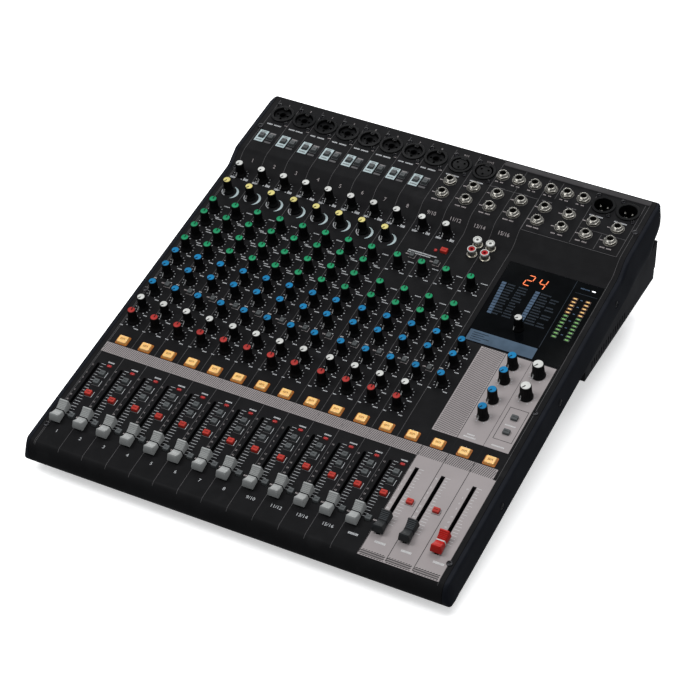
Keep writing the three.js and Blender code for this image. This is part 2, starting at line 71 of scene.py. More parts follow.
def link(name, data):
    made = bpy.data.objects.new(name, data)
    bpy.context.scene.collection.objects.link(made)
    return made


def aim(made, back):
    made.rotation_euler = (-back).to_track_quat("-Z", "Y").to_euler()


def make_camera():
    back = Vector((math.sin(AZIMUTH) * math.cos(ELEVATION),
                   -math.cos(AZIMUTH) * math.cos(ELEVATION), math.sin(ELEVATION)))
    data = bpy.data.cameras.new("camera")
    data.lens, data.sensor_width = LENS, 36
    data.clip_start, data.clip_end = 0.05, 50
    camera = link("camera", data)
    camera.location = CAMERA_TARGET + back * CAMERA_DISTANCE
    aim(camera, back)
    bpy.context.scene.camera = camera


make_camera()


# ---- the two sloping planes

def joint(name):
    return next(j for j in frame["joints"] if j["name"] == name)


def slope_of(name):
    axis = joint(name)["axis"]
    return math.atan2(axis[1], -axis[2])


class Plane:
    def __init__(self, y, z, slope):
        self.matrix = Matrix.Translation((0, y, z)) @ Matrix.Rotation(slope, 4, "X")
        self.inverse = self.matrix.inverted()

    def side(self, s, h=0.0):
        """The (y, z) of a point on the plane."""
        p = self.matrix @ Vector((0, s, h))
        return p.y, p.z

    def at(self, x, s, h=0.0, turn=0.0):
        """The matrix that stands a shape on the plane, turned clockwise as seen from above."""
        return self.matrix @ Matrix.Translation((x, s, h)) @ Matrix.Rotation(-turn, 4, "Z")

    def corners(self, node):
        """The lowest and the highest (x, s) of a CAD node on the plane."""
        points = [self.inverse @ (v.co / MM) for v in frame["nodes"][node].data.vertices]
        columns = [[p[k] for p in points] for k in (0, 1)]
        return [min(c) for c in columns], [max(c) for c in columns]

    def spot(self, node):
        """The middle (x, s) of a CAD node on the plane."""
        return tuple((a + b) / 2 for a, b in zip(*self.corners(node)))


PANEL = Plane(FRONT_Y, 40.1, slope_of("gain_knob_turn"))
DECK = Plane(160.0, 115.9, slope_of("pad_button_press"))


# ---- materials

def linear(rgb):
    """A colour of 0 to 255 display values as linear light."""
    return tuple(c / 3294.6 if c <= 10 else ((c / 255 + 0.055) / 1.055) ** 2.4 for c in rgb)


def scaled(color, factor):
    return tuple(min(1.0, c * factor) for c in color) + (1.0,)


class Look:
    """A node material whose colour, roughness and surface vary over the piece."""

    def __init__(self, name, rgb, rough=0.5, metal=0.0, spec=0.3, mottle=0.12, patch=70.0,
                 grain=2600.0, bump=0.1):
        self.name = name
        self.material = bpy.data.materials.new(name)
        self.material.use_nodes = True
        self.nodes = self.material.node_tree.nodes
        self.links = self.material.node_tree.links
        self.shader = self.nodes["Principled BSDF"]
        self.color = linear(rgb)
        self.place = self.nodes.new("ShaderNodeTexCoord").outputs["Object"]
        self.set("Metallic", metal)
        self.set("Specular IOR Level", spec)
        spots = self.noise(patch, 5)
        self.tone = self.mix(spots, scaled(self.color, 1 - mottle), scaled(self.color, 1 + mottle))
        self.join(self.tone, "Base Color")
        self.join(self.span(self.noise(9.0, 3), rough - 0.07, rough + 0.07), "Roughness")
        self.bump(self.noise(grain, 2), bump)

    def set(self, socket, value):
        self.shader.inputs[socket].default_value = value
        return self

    def join(self, output, socket):
        self.links.new(output, self.shader.inputs[socket])

    def feed(self, socket, value):
        if isinstance(value, bpy.types.NodeSocket):
            self.links.new(value, socket)
        else:
            socket.default_value = value

    def node(self, kind, **inputs):
        made = self.nodes.new(kind)
        for name, value in inputs.items():
            self.feed(made.inputs[name.replace("_", " ")], value)
        return made

    def noise(self, scale, detail):
        made = self.node("ShaderNodeTexNoise", Scale=scale, Detail=float(detail), Roughness=0.55,
                         Vector=self.place)
        return made.outputs["Fac"]

    def cells(self, scale, feature="F1"):
        made = self.node("ShaderNodeTexVoronoi", Scale=scale, Vector=self.place)
        made.feature = feature
        return made.outputs["Distance"]

    def span(self, value, low, high, start=0.35, end=0.65):
        made = self.node("ShaderNodeMapRange", Value=value, From_Min=start, From_Max=end,
                         To_Min=low, To_Max=high)
        return made.outputs["Result"]

    def mix(self, factor, first, second):
        made = self.nodes.new("ShaderNodeMix")
        made.data_type = "RGBA"
        self.links.new(self.span(factor, 0, 1), made.inputs["Factor"])
        self.feed(made.inputs[6], first)
        self.feed(made.inputs[7], second)
        return made.outputs[2]

    def bump(self, height, strength, distance=0.0002):
        made = self.node("ShaderNodeBump", Strength=strength, Distance=distance, Height=height)
        self.links.new(made.outputs["Normal"], self.shader.inputs["Normal"])


def worn_paint(name, rgb, spec):
    """Powder-coated metal: a fine pebbled skin with faint dust in patches."""
    look = Look(name, rgb, rough=0.5, spec=spec, mottle=0.09, grain=1900, bump=0.16)
    dust = look.span(look.noise(28.0, 6), 0, 1, 0.52, 0.74)
    look.join(look.mix(dust, look.tone, scaled(look.color, 1.28)), "Base Color")
    look.bump(look.cells(1500.0), 0.14, 0.00015)
    return look


def metal(name, rgb, rough):
    """Plated metal with fine turning marks."""
    look = Look(name, rgb, rough=rough, metal=1.0, spec=0.5, mottle=0.08, grain=5200, bump=0.12)
    look.join(look.span(look.noise(900.0, 4), rough - 0.08, rough + 0.12), "Roughness")
    return look


def circuit_board(name):
    look = Look(name, (24, 74, 44), rough=0.45, mottle=0.2)
    tracks = look.cells(420.0, "DISTANCE_TO_EDGE")
    copper = look.span(tracks, 1, 0, 0.03, 0.06)
    look.join(look.mix(copper, look.tone, scaled(linear((58, 120, 70)), 1)), "Base Color")
    return look


def glowing(name, rgb, strength, rough=0.35):
    """A lit lens or segment, or a glow painted round a lit part."""
    look = Look(name, rgb, rough=rough, spec=0.4, mottle=0.06, bump=0.03)
    look.set("Emission Color", linear(rgb) + (1.0,)).set("Emission Strength", strength)
    return look


def translucent(name, rgb, radius):
    look = Look(name, rgb, rough=0.34, spec=0.45, mottle=0.05, bump=0.05)
    look.set("Subsurface Weight", 0.45).set("Subsurface Radius", radius)
    look.set("Subsurface Scale", 0.003).set("Coat Weight", 0.15)
    return look


# name, display colour, roughness, specular level, and what else differs from a plain finish
FINISHES = (
    ("cheek_plastic", (22, 24, 29), 0.46, 0.03, {"grain": 1300, "bump": 0.2}),
    ("black_plastic", (17, 17, 18), 0.42, 0.14),
    ("socket_black", (8, 8, 9), 0.3, 0.2),
    ("knob_plastic", (10, 10, 11), 0.5, 0.1, {"grain": 3800}),
    ("rubber", (18, 18, 18), 0.85, 0.2, {"grain": 900, "bump": 0.5}),
    ("display_glass", (4, 5, 6), 0.16, 0.06, {"mottle": 0.3, "bump": 0.0}),
    ("cap_white", (178, 179, 176), 0.45, 0.2),
    ("cap_yellow", (190, 180, 112), 0.45, 0.15),
    ("cap_green", (17, 122, 80), 0.45, 0.1),
    ("cap_blue", (10, 103, 148), 0.45, 0.1),
    ("cap_red", (146, 40, 36), 0.45, 0.12),
    ("phono_red", (150, 20, 26), 0.35, 0.2),
    ("mark_dark", (14, 14, 17), 0.5, 0.1),
    ("mark_white", (176, 177, 177), 0.55, 0.15),
    ("ink_grey", (137, 131, 131), 0.6, 0.12, {"mottle": 0.03, "patch": 40}),
    ("ink_white", (162, 164, 166), 0.6, 0.12, {"mottle": 0.05, "patch": 180}),
    ("ink_pale", (152, 166, 168), 0.6, 0.12, {"mottle": 0.05, "patch": 180}),
    ("label_dim", (58, 60, 62), 0.6, 0.1, {"mottle": 0.05}),
    ("ink_hair", (78, 77, 78), 0.6, 0.1),
    ("ink_band", (70, 67, 68), 0.6, 0.1, {"mottle": 0.04}),
    ("ink_black", (17, 17, 19), 0.6, 0.1),
    ("fader_light", (136, 138, 137), 0.45, 0.2, {"mottle": 0.05, "grain": 1700, "bump": 0.12}),
    ("fader_dark", (34, 36, 37), 0.48, 0.12, {"mottle": 0.06, "grain": 1700, "bump": 0.12}),
    ("fader_red", (160, 24, 17), 0.45, 0.15, {"mottle": 0.05, "grain": 1700, "bump": 0.12}),
    # groove_light and groove_red are painted shade in the grooves of the light and red fader caps;
    # groove_dark is a painted highlight along the grooves of the dark caps.
    ("groove_light", (94, 96, 95), 0.6, 0.1),
    ("groove_dark", (62, 66, 70), 0.6, 0.1),
    ("groove_red", (92, 8, 6), 0.6, 0.1),
    ("button_grey", (68, 71, 72), 0.45, 0.15),
    ("button_red", (152, 42, 34), 0.4, 0.15),
    ("lamp_rim", (52, 14, 14), 0.5, 0.1),
    ("slot_lining", (6, 6, 7), 0.7, 0.05),
    ("screen_band", (64, 79, 94), 0.35, 0.05),
    ("screen_text", (64, 80, 98), 0.4, 0.05),
    ("screen_dim", (40, 46, 53), 0.4, 0.05),
    ("amber_mark", (150, 96, 36), 0.5, 0.1),
)
# ridge_paint is lighter than cover_paint: a painted highlight along the rear ridge.
PAINTS = (("cover_paint", (23, 23, 24), 0.02), ("ridge_paint", (52, 51, 52), 0.06),
          ("case_steel", (29, 29, 32), 0.05))
METALS = (("socket_metal", (142, 140, 134), 0.3), ("nut_metal", (120, 118, 113), 0.36),
          ("phono_metal", (196, 193, 184), 0.32), ("screw_metal", (48, 48, 50), 0.4),
          ("screw_black", (26, 26, 28), 0.36), ("supply_metal", (168, 170, 172), 0.45))
# amber_frame is a painted glow: the light of a lit key, put on a ring in the gap round it.
GLOWS = (("lamp_dark", (140, 24, 22), 0.12, 0.25), ("amber_frame", (134, 78, 22), 0.3),
         ("segment_amber", (200, 78, 30), 0.5), ("segment_core", (236, 140, 92), 0.45),
         ("lamp_white", (236, 238, 240), 0.7), ("lamp_amber", (204, 166, 98), 0.2),
         ("halo_amber", (58, 28, 8), 0.2), ("lamp_green", (98, 150, 76), 0.14),
         ("halo_green", (10, 38, 12), 0.15))


def make_looks():
    """Every finish by name."""
    looks = [Look(name, rgb, rough=rough, spec=spec, **dict(*more))
             for name, rgb, rough, spec, *more in FINISHES]
    for make, rows in ((worn_paint, PAINTS), (metal, METALS), (glowing, GLOWS)):
        looks += [make(*row) for row in rows]
    looks += [circuit_board("circuit_board"), translucent("amber_key", (220, 176, 108), (1.0, 0.6, 0.3))]
    return {look.name: look.material for look in looks}


LOOKS = make_looks()


# ---- shells: closed surfaces as (points, faces) in millimetres

def loft(rings, wrap=False):
    """Quads between rings of points, closed by flat ends, or by joining the last ring to the first."""
    n, count = len(rings[0]), len(rings)
    points = [p for ring in rings for p in ring]
    spans = range(count if wrap else count - 1)
    faces = [(a * n + i, a * n + (i + 1) % n, (a + 1) % count * n + (i + 1) % n, (a + 1) % count * n + i)
             for a in spans for i in range(n)]
    if not wrap:
        faces += [tuple(reversed(range(n))), tuple(range((count - 1) * n, count * n))]
    return points, faces


def circle(radius, h, sides, phase=0.0):
    return [(radius * math.cos(phase + math.tau * i / sides),
             radius * math.sin(phase + math.tau * i / sides), h) for i in range(sides)]


def turned(profile, sides=32, hollow=False):
    """A body turned about the vertical from (radius, height) pairs; hollow for a closed section."""
    return loft([circle(r, h, sides) for r, h in profile], wrap=hollow)


def round_rect(width, depth, corner, h, steps=4):
    points = []
    for k, (sx, sy) in enumerate(((1, 1), (-1, 1), (-1, -1), (1, -1))):
        cx, cy = sx * (width / 2 - corner), sy * (depth / 2 - corner)
        for i in range(steps + 1):
            a = math.pi / 2 * (k + i / steps)
            points.append((cx + corner * math.cos(a), cy + corner * math.sin(a), h))
    return points


def key(width, depth, low, high, corner=0.8, edge=0.5, steps=4, taper=0.0):
    """A key with rounded corners and a rounded top edge."""
    rings = [round_rect(width, depth, corner, low, steps)]
    for i in range(5):
        a = math.pi / 2 * i / 4
        inset = 2 * edge * (1 - math.cos(a)) + taper
        rings.append(round_rect(width - inset, depth - inset, max(corner - inset / 2, 0.05),
                                high - edge * (1 - math.sin(a)), steps))
    return loft(rings)


def prism(outline, low, high):
    return loft([[(x, y, low) for x, y in outline], [(x, y, high) for x, y in outline]])


INK = (-0.02, 0.05)


def bar(x0, x1, s0, s1, low=INK[0], high=INK[1]):
    return prism([(x0, s0), (x1, s0), (x1, s1), (x0, s1)], low, high)


def stroke(p, q, width, low=INK[0], high=INK[1]):
    """A straight bar from p to q."""
    d = (Vector(q) - Vector(p)).normalized() * width / 2
    n = Vector((-d.y, d.x))
    ends = [Vector(p) - n, Vector(q) - n, Vector(q) + n, Vector(p) + n]
    return prism([tuple(e) for e in ends], low, high)


def arc(radius, start, end, width, tip=1.0, steps=14):
    """An arc about the origin, tip of its full width at its ends; angles run clockwise from the rear."""
    sides = []
    for sign in (1, -1):
        side = []
        for i in range(steps + 1):
            a = math.radians(start + (end - start) * i / steps)
            half = width / 2 * (tip + (1 - tip) * math.sin(math.pi * i / steps))
            side.append(((radius + sign * half) * math.sin(a), (radius + sign * half) * math.cos(a)))
        sides.append(side)
    return prism(sides[0] + sides[1][::-1], *INK)


def bezier(p0, p1, p2, p3, steps):
    out = []
    for i in range(steps + 1):
        t = i / steps
        w = ((1 - t) ** 3, 3 * t * (1 - t) ** 2, 3 * t * t * (1 - t), t ** 3)
        out.append(tuple(sum(a * p[k] for a, p in zip(w, (p0, p1, p2, p3))) for k in (0, 1)))
    return out


class Build:
    """Shells collected into one piece, each with its finish."""

    def __init__(self):
        self.points, self.faces, self.looks = [], [], []

    def take(self, points, faces, looks):
        first = len(self.points)
        self.points += points
        self.faces += [tuple(first + i for i in face) for face in faces]
        self.looks += looks
        return self

    def add(self, shell, look, at=None):
        points, faces = shell
        return self.take([at @ Vector(p) if at else Vector(p) for p in points], faces, [look] * len(faces))

    def bars(self, look, at, boxes, heights=INK):
        """A bar for each (x0, x1, s0, s1)."""
        for box in boxes:
            self.add(bar(*box, *heights), look, at)
        return self

    def merge(self, other, at):
        return self.take([at @ p for p in other.points], other.faces, other.looks)

    def mesh(self, name, smooth=35):
        mesh = bpy.data.meshes.new(name)
        mesh.from_pydata([p * MM for p in self.points], [], self.faces)
        names = list(dict.fromkeys(self.looks))
        mesh.polygons.foreach_set("material_index", [names.index(look) for look in self.looks])
        for look in names:
            mesh.materials.append(LOOKS[look])
        shape = bmesh.new()
        shape.from_mesh(mesh)
        bmesh.ops.recalc_face_normals(shape, faces=shape.faces)
        shape.to_mesh(mesh)
        shape.free()
        mesh.shade_smooth()
        mesh.set_sharp_from_angle(angle=math.radians(smooth))
        return mesh

    def object(self, name, smooth=35):
        return link(name, self.mesh(name, smooth))

    def piece(self, name, slot, body="console", stands_for=(), smooth=35):
        return finish_piece(self.object(name, smooth), body, stands_for)


def moving_piece(node, suffix, slot, shape, at, smooth=35):
    """A shape that takes a CAD node's place and rides on its body."""
    Build().merge(shape, at).piece(node + suffix, slot, node + "_body", [node], smooth)


def finish_piece(made, body="console", stands_for=()):
    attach(made, body)
    if stands_for:
        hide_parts(*stands_for)
    return made


def carve(target, cutter, smooth=35):
    """Cuts the cutter's shells out of an object's mesh."""
    tool = cutter.object("cutter")
    cut = target.modifiers.new("cut", "BOOLEAN")
    cut.operation, cut.solver, cut.object = "DIFFERENCE", "EXACT", tool
    depsgraph = bpy.context.evaluated_depsgraph_get()
    mesh = bpy.data.meshes.new_from_object(target.evaluated_get(depsgraph))
    target.modifiers.clear()
    target.data = mesh
    mesh.shade_smooth()
    mesh.set_sharp_from_angle(angle=math.radians(smooth))
    bpy.data.objects.remove(tool)
    return target


def carved(shell, *cutters):
    """A shell with other shells cut out of it."""
    tools = Build()
    for cutter in cutters:
        tools.add(cutter, "black_plastic")
    made = carve(Build().add(shell, "black_plastic").object("blank"), tools)
    out = ([v.co / MM for v in made.data.vertices], [tuple(p.vertices) for p in made.data.polygons])
    bpy.data.objects.remove(made)
    return out


def moved(shell, x, y):
    at = Matrix.Translation((x, y, 0))
    return [tuple(at @ Vector(p)) for p in shell[0]], shell[1]


GLYPHS = {}


def glyph(text, size):
    """A number as a thin raised shape, centred."""
    if (text, size) not in GLYPHS:
        curve = bpy.data.curves.new("glyph", "FONT")
        curve.body, curve.size, curve.extrude = text, size, (INK[1] - INK[0]) / 2
        curve.align_x = curve.align_y = "CENTER"
        curve.resolution_u = 3
        made = bpy.data.objects.new("glyph", curve)
        mesh = made.to_mesh()
        GLYPHS[text, size] = ([tuple(v.co) for v in mesh.vertices],
                              [tuple(p.vertices) for p in mesh.polygons])
        bpy.data.objects.remove(made)
    return GLYPHS[text, size]


# ---- where everything stands: columns across, rows along

def row(first, pitch, count):
    return [first + pitch * i for i in range(count)]


MONO, WIDE = 8, 4
MONO_PITCH, WIDE_PITCH = 25.4, 26.16
KNOB_X = row(PANEL.spot("gain_knob")[0], MONO_PITCH, MONO)
WIDE_KNOB_X = row(8.2, WIDE_PITCH, WIDE)
RETURN_KNOB_X = 8.2 + WIDE_PITCH * 4
FADERS = {n: PANEL.spot(n) for n in frame["nodes"] if n.startswith("fader_") and n != "fader_board"}
SLOT_X = sorted(x for x, s in FADERS.values())
SLOT_S = (32.0, 113.2)
ON_X = row(PANEL.spot("on_button")[0], 25.3, MONO)
WIDE_ON_X = row(10.2, 26.15, 8)
KEY_X = row(PANEL.spot("group_button")[0], 25.57, MONO)
WIDE_KEY_X = row(15.3, 26.2, 7)
SEPARATOR_X = row(-206.8, 25.3, MONO) + row(-3.4, 26.34, 9)
LEFT_PRINT_X, RIGHT_PRINT_X, MASTER_X = -208.0, 207.4, 127.9
COMBO_X = row(-194.4, 25.15, 8)
FEMALE_X, MALE_X = (8.9, 35.4), (164.9, 191.0)
SOCKET_W = 67.6
PAIR_X, PAIR_W = row(9.4, 25.83, 8), (22.7, 42.0)
ROW_X, ROW_W = row(55.5, 17.5, 6), 69.0
PHONO_X, PHONO_S = (68.7, 82.6), (380.4, 394.3)
DECK_KEYS = {n: DECK.spot(n) for n in ("pad_button", "low_cut_button")}
STRIP_ROWS = ["gain", "compressor", "high_eq", "mid_frequency", "mid_eq", "low_eq",
              "aux_1", "aux_2", "aux_3", "effect_send", "pan"]
ROW_S = {n: PANEL.spot(n + "_knob")[1] for n in STRIP_ROWS}
CAPS = {"gain": "white", "compressor": "yellow", "effect_send": "white", "pan": "red"}
CAPS.update({n: "green" for n in STRIP_ROWS if n.endswith(("eq", "frequency"))})
CAPS.update({n: "blue" for n in STRIP_ROWS if n.startswith("aux")})
MINIMUM, MIDDLE = math.radians(-150), 0.0
ROW_S_ON = PANEL.spot("on_button")[1]
KEY_ROWS = ("assign_button_1", "assign_button_2", "group_button", "listen_button")
ROW_S_KEYS = {n: PANEL.spot(n)[1] for n in KEY_ROWS}
PHANTOM = PANEL.spot("phantom_power_button")
FILTER_KEYS = ([(x, 228.6) for x in row(-190.4, MONO_PITCH, MONO)]
               + [(x, 228.0) for x in row(15.4, WIDE_PITCH, WIDE)])
LONE_KEYS = [(14.8, 356.8), (41.4, 355.7), (192.9, 201.8), (192.9, 183.4)]
DECK_KEY_PITCH = 25.15
KEYS_ACROSS_DECK = [x + DECK_KEY_PITCH * i for i in range(MONO) for x, _ in DECK_KEYS.values()]
JACKS = [(x, w) for x in PAIR_X for w in PAIR_W] + [(x, ROW_W) for x in ROW_X]


# ---- sheet metal and cheeks

def skin_path(inset=0.0):
    """The side view of the top cover, from the lip of the nose to the lip of the rear hood."""
    nose_top, nose_front = PANEL.side(7, -inset), (FRONT_Y + inset, 28.0)
    lip = (FRONT_Y + 13, 10 + inset)
    foot, head, hood = PANEL.side(400, -inset), DECK.side(9, -inset), DECK.side(91.2, -inset)
    back = (HOOD_Y - inset, 123.0)
    path = bezier(lip, (lip[0] - 8, lip[1] + 0.6), (nose_front[0], 17.5), nose_front, 9)
    rise = (nose_front[0], 34.4), (nose_top[0] - 4, nose_top[1] - 0.7)
    path += bezier(nose_front, *rise, nose_top, 12)[1:]
    path += bezier(foot, (foot[0] + 11, foot[1] + 1.8), (head[0] - 10, head[1] - 1.4), head, 16)
    path += bezier(hood, (hood[0] + 1.4, hood[1] + 0.2), (back[0], 128.2 - inset), back, 10)
    return path + [(HOOD_Y - inset, 100.4 + inset * 0.5), (240.0, 93.8 + inset)]


def window(width, depth, corner, steps=4):
    return loft([round_rect(width, depth, corner, h, steps) for h in (-6, 6)])


def bore(radius, sides):
    return turned([(radius, -6), (radius, 6)], sides)


def cover_tools():
    """Everything that passes through the top cover."""
    low, high = PANEL.corners("display_window")
    slot, lamp_key = window(3.2, SLOT_S[1] - SLOT_S[0], 1.59, 6), window(12.2, 10.8, 1.2)
    glass_gap = window(high[0] - low[0] + 0.6, high[1] - low[1] + 0.6, 0.5, 2)
    socket, jack, deck_key = bore(11.8, 40), bore(5.0, 24), window(6.2, 6.2, 0.6, 2)
    openings = [(PANEL, x, sum(SLOT_S) / 2, slot) for x in SLOT_X]
    openings += [(PANEL, x, ROW_S_ON, lamp_key) for x in ON_X + WIDE_ON_X]
    openings += [(PANEL, x, s, window(width + 0.8, 6.2, 0.6, 2)) for x, s, width, _ in SMALL_KEYS]
    openings += [(DECK, x, SOCKET_W, socket) for x in [*COMBO_X, *FEMALE_X, *MALE_X]]
    openings += [(DECK, x, w, jack) for x, w in JACKS]
    openings += [(DECK, x, DECK_KEYS["pad_button"][1], deck_key) for x in KEYS_ACROSS_DECK]
    openings += [(PANEL, x, s, jack) for x in PHONO_X for s in PHONO_S]
    openings.append((PANEL, *PANEL.spot("display_window"), glass_gap))
    tools = Build()
    for plane, x, s, shell in openings:
        tools.add(shell, "slot_lining", plane.at(x, s))
    return tools


def shade_evenly(made):
    made.modifiers.new("even", "WEIGHTED_NORMAL").keep_sharp = True


ROUNDED_ABOVE = math.radians(40)


def smoothed(made, width):
    """Rounds an object's sharp edges and evens its shading."""
    bevel = made.modifiers.new("edges", "BEVEL")
    bevel.width, bevel.segments, bevel.limit_method = width * MM, 2, "ANGLE"
    bevel.angle_limit, bevel.harden_normals = ROUNDED_ABOVE, False
    shade_evenly(made)


def top_cover():
    edge, side = 0.35, COVER_HALF_WIDTH
    rings = [[(x, y, z) for y, z in skin_path(shrink) + skin_path(SHEET)[::-1]]
             for x, shrink in ((-side, edge), (-side + edge, 0.0), (side - edge, 0.0), (side, edge))]
    made = Build().add(loft(rings), "cover_paint").object("top_cover_skin", 30)
    carve(made, cover_tools(), 30)
    for polygon in made.data.polygons:
        polygon.material_index = 0
    made.data.materials.clear()
    made.data.materials.append(LOOKS["cover_paint"])
    shade_evenly(made)
    finish_piece(made, stands_for=["top_cover"])


CHEEK_SCREWS = ((-137, 45), (-5, 67), (131, 88))


def near(point, path):
    """The distance from a point to a chain of segments."""
    best = 1e9
    p = Vector(point)
    for a, b in zip(path, path[1:]):
        a, b = Vector(a), Vector(b)
        d = b - a
        t = max(0.0, min(1.0, (p - a).dot(d) / max(d.length_squared, 1e-9)))
        best = min(best, (a + d * t - p).length)
    return best


def resampled(path, step):
    out = [Vector(path[0])]
    for a, b in zip(path, path[1:]):
        a, b = Vector(a), Vector(b)
        parts = max(1, round((b - a).length / step))
        out += [a + (b - a) * (i + 1) / parts for i in range(parts)]
    return out


FRONT_ROUND, LIP_ROUND, REAR_ROUND = (5.0, 10.0), (9.0, 13.0), (5.0, 9.0)
LIP_Z, HOOD_ROUND_Z = 10.0, 112.0


def quarter_round(size, distance):
    """How far a rounded edge of this depth and length falls back at a distance from its end."""
    across, along = size
    gap = 1 - min(distance, along) / along
    return across * (1 - math.sqrt(max(0.0, 1 - gap * gap)))


def end_round(y, z):
    """How far a cheek's outer face curves in at its front end, its lip and the top of its rear."""
    if y < 0:
        return max(quarter_round(FRONT_ROUND, y - FRONT_Y), quarter_round(LIP_ROUND, max(0.0, z - LIP_Z)))
    reach = min(1.0, max(0.06, (z - HOOD_ROUND_Z) / 16))
    return reach * quarter_round(REAR_ROUND, HOOD_Y - y)


# The cheek flares out over this distance from the cover's top line.
FLARE_REACH, BAND_STEP, BAND_PARTS = 24, 7.0, 7
CHEEK_EDGE = 2.3
CHEEK_FINE = (0.0, 0.12, 0.35, 0.7, 1.15, 1.7, CHEEK_EDGE)


def band_steps(scale, span):
    """Places across the cheek's band as parts of its height, close together at its edges."""
    fine = [f * scale / span for f in CHEEK_FINE]
    last = fine[-1]
    return (fine + [last + (1 - 2 * last) * k / BAND_PARTS for k in range(1, BAND_PARTS)]
            + [1 - f for f in fine[::-1]])


def cheek_rings():
    """Closed sections of the right cheek, each a ring from the top path to the band's lower edge."""
    path = skin_path()
    top = [p for p in path if p[1] > 39]
    low_start, low_end = Vector((FRONT_Y + 16, 17.96)), Vector((234.0, 92.84))
    outline = path + [tuple(low_end), tuple(low_start), path[0]]
    chain = resampled(path, BAND_STEP)
    lengths = [0.0]
    for a, b in zip(chain, chain[1:]):
        lengths.append(lengths[-1] + (b - a).length)
    rings = []
    for a, length in zip(chain, lengths):
        b = low_start + (low_end - low_start) * length / lengths[-1]
        span = (b - a).length
        scale = min(1.0, span / (4 * CHEEK_EDGE))
        ring = [(CHEEK_INNER_X, *a)]
        for t in band_steps(scale, span):
            p = a + (b - a) * t
            flare = CHEEK_TOP_X + (CHEEK_OUTER_X - CHEEK_TOP_X) * min(1.0, near(p, top) / FLARE_REACH)
            lack = 1 - min(near(p, outline) / (CHEEK_EDGE * scale), 1.0)
            drop = CHEEK_EDGE * (1 - math.sqrt(1 - lack * lack)) + end_round(p.x, p.y)
            ring.append((max(flare - drop, CHEEK_INNER_X + 0.4), p.x, p.y))
        ring.append((CHEEK_INNER_X, *b))
        rings.append(ring)
    return rings


def from_side(side, y, z, x=219.2):
    """The matrix that stands a shape on a cheek's outer face."""
    return Matrix.Translation((side * x, y, z)) @ Matrix.Rotation(side * math.pi / 2, 4, "Y")


def cheeks():
    rings = cheek_rings()
    well = turned([(4.0, 0), (4.0, 1.6), (4.5, 2.6), (5.2, 6)], 32)
    for side, name in ((-1, "left_cheek"), (1, "right_cheek")):
        shell = loft([[(side * x, y, z) for x, y, z in ring] for ring in rings])
        made = Build().add(shell, "cheek_plastic").object(name + "_shell", 42)
        tools, screws = Build(), Build()
        for y, z in CHEEK_SCREWS:
            tools.add(well, "cheek_plastic", from_side(side, y, z))
            screws.add(screw_head(3.5, 1.1), "screw_metal", from_side(side, y, z, 219.3))
        carve(made, tools, 42)
        shade_evenly(made)
        finish_piece(made, stands_for=[name])
        screws.piece(name + "_screws", "screw_metal")


# ---- screws, nuts and knobs

def screw_head(radius, height):
    """A domed head with a cross recess."""
    dome = turned([(radius * 0.94, 0), (radius, height * 0.3), (radius * 0.93, height * 0.62),
                   (radius * 0.7, height * 0.9), (radius * 0.35, height)], 28)
    arm, wide = radius * 0.55, radius * 0.13
    quarter = [(arm, -wide), (arm, wide), (wide, wide)]
    cross = [tuple(Matrix.Rotation(math.pi / 2 * k, 2) @ Vector(p)) for k in range(4) for p in quarter]
    return carved(dome, prism(cross, height * 0.35, height * 1.6))


# Radius, height and depth of the ribs, from the skirt up.
KNOB_BODY = ((5.88, 0.5, 0), (6.0, 0.8, 0), (5.96, 1.5, 0), (5.55, 2.5, 0.3), (5.12, 3.8, 1),
             (4.88, 5.4, 1), (4.72, 8.0, 1), (4.6, 11.0, 1), (4.52, 14.6, 1), (4.46, 15.5, 0.3),
             (4.3, 16.0, 0), (4.05, 16.1, 0))
KNOB_CAP = ((3.9, 15.2), (4.0, 15.6), (4.02, 16.3), (3.9, 16.5), (3.5, 16.5), (2.4, 16.25), (1.0, 16.12))
RIB, RIB_SIDES = 0.2, 96
SLIM = 0.88


def knob(cap, scale=1.0, slim=1.0):
    """A ribbed knob with a dished, coloured cap and its pointer to the rear; slim narrows its top."""
    build = Build()
    narrow = [scale * (1 + (slim - 1) * min(1.0, max(0.0, (h - 1.5) / 4.0))) for _, h, _ in KNOB_BODY]
    rings = []
    for (radius, h, rib), size in zip(KNOB_BODY, narrow):
        ring = []
        for i in range(RIB_SIDES):
            r = radius * size + rib * (RIB if i % 4 < 2 else -RIB)
            a = math.tau * i / RIB_SIDES
            ring.append((r * math.cos(a), r * math.sin(a), h))
        rings.append(ring)
    build.add(loft(rings), "knob_plastic")
    build.add(turned([(r * scale * slim, h) for r, h in KNOB_CAP], 40), cap)
    build.add(bar(-0.4, 0.4, 0.3, 3.8 * scale * slim, 16.0, 16.58), "mark_dark")
    outer = [(r * size + 0.07, h) for (r, h, _), size in list(zip(KNOB_BODY, narrow))[1:6]]
    inner = [(y - 0.5, h) for y, h in outer]
    ring = outer + inner[::-1]
    build.add(loft([[(x, y, h) for y, h in ring] for x in (-0.62, 0.62)]), "mark_white")
    return build


def row_columns(name):
    """The columns that have a knob in this row, first the one whose knob turns."""
    wide = {"gain": WIDE_KNOB_X[:2], "compressor": [], "mid_frequency": []}.get(name, WIDE_KNOB_X)
    return KNOB_X + wide + ([RETURN_KNOB_X] if name.startswith("aux") else [])


def knob_rows():
    """The knobs by row: the first of each channel row turns, and the rest of the row is one piece."""
    for name in STRIP_ROWS:
        shape = knob("cap_" + CAPS[name], slim=SLIM)
        turn = MIDDLE if name.endswith(("eq", "frequency")) or name == "pan" else MINIMUM
        fixed = Build()
        for x in row_columns(name)[1:]:
            fixed.merge(shape, PANEL.at(x, ROW_S[name], 0, turn))
        fixed.piece(name + "_knobs", "knob_plastic")
        node = name + "_knob"
        moving_piece(node, "_shape", "knob_plastic", shape, PANEL.at(*PANEL.spot(node), 0, turn))


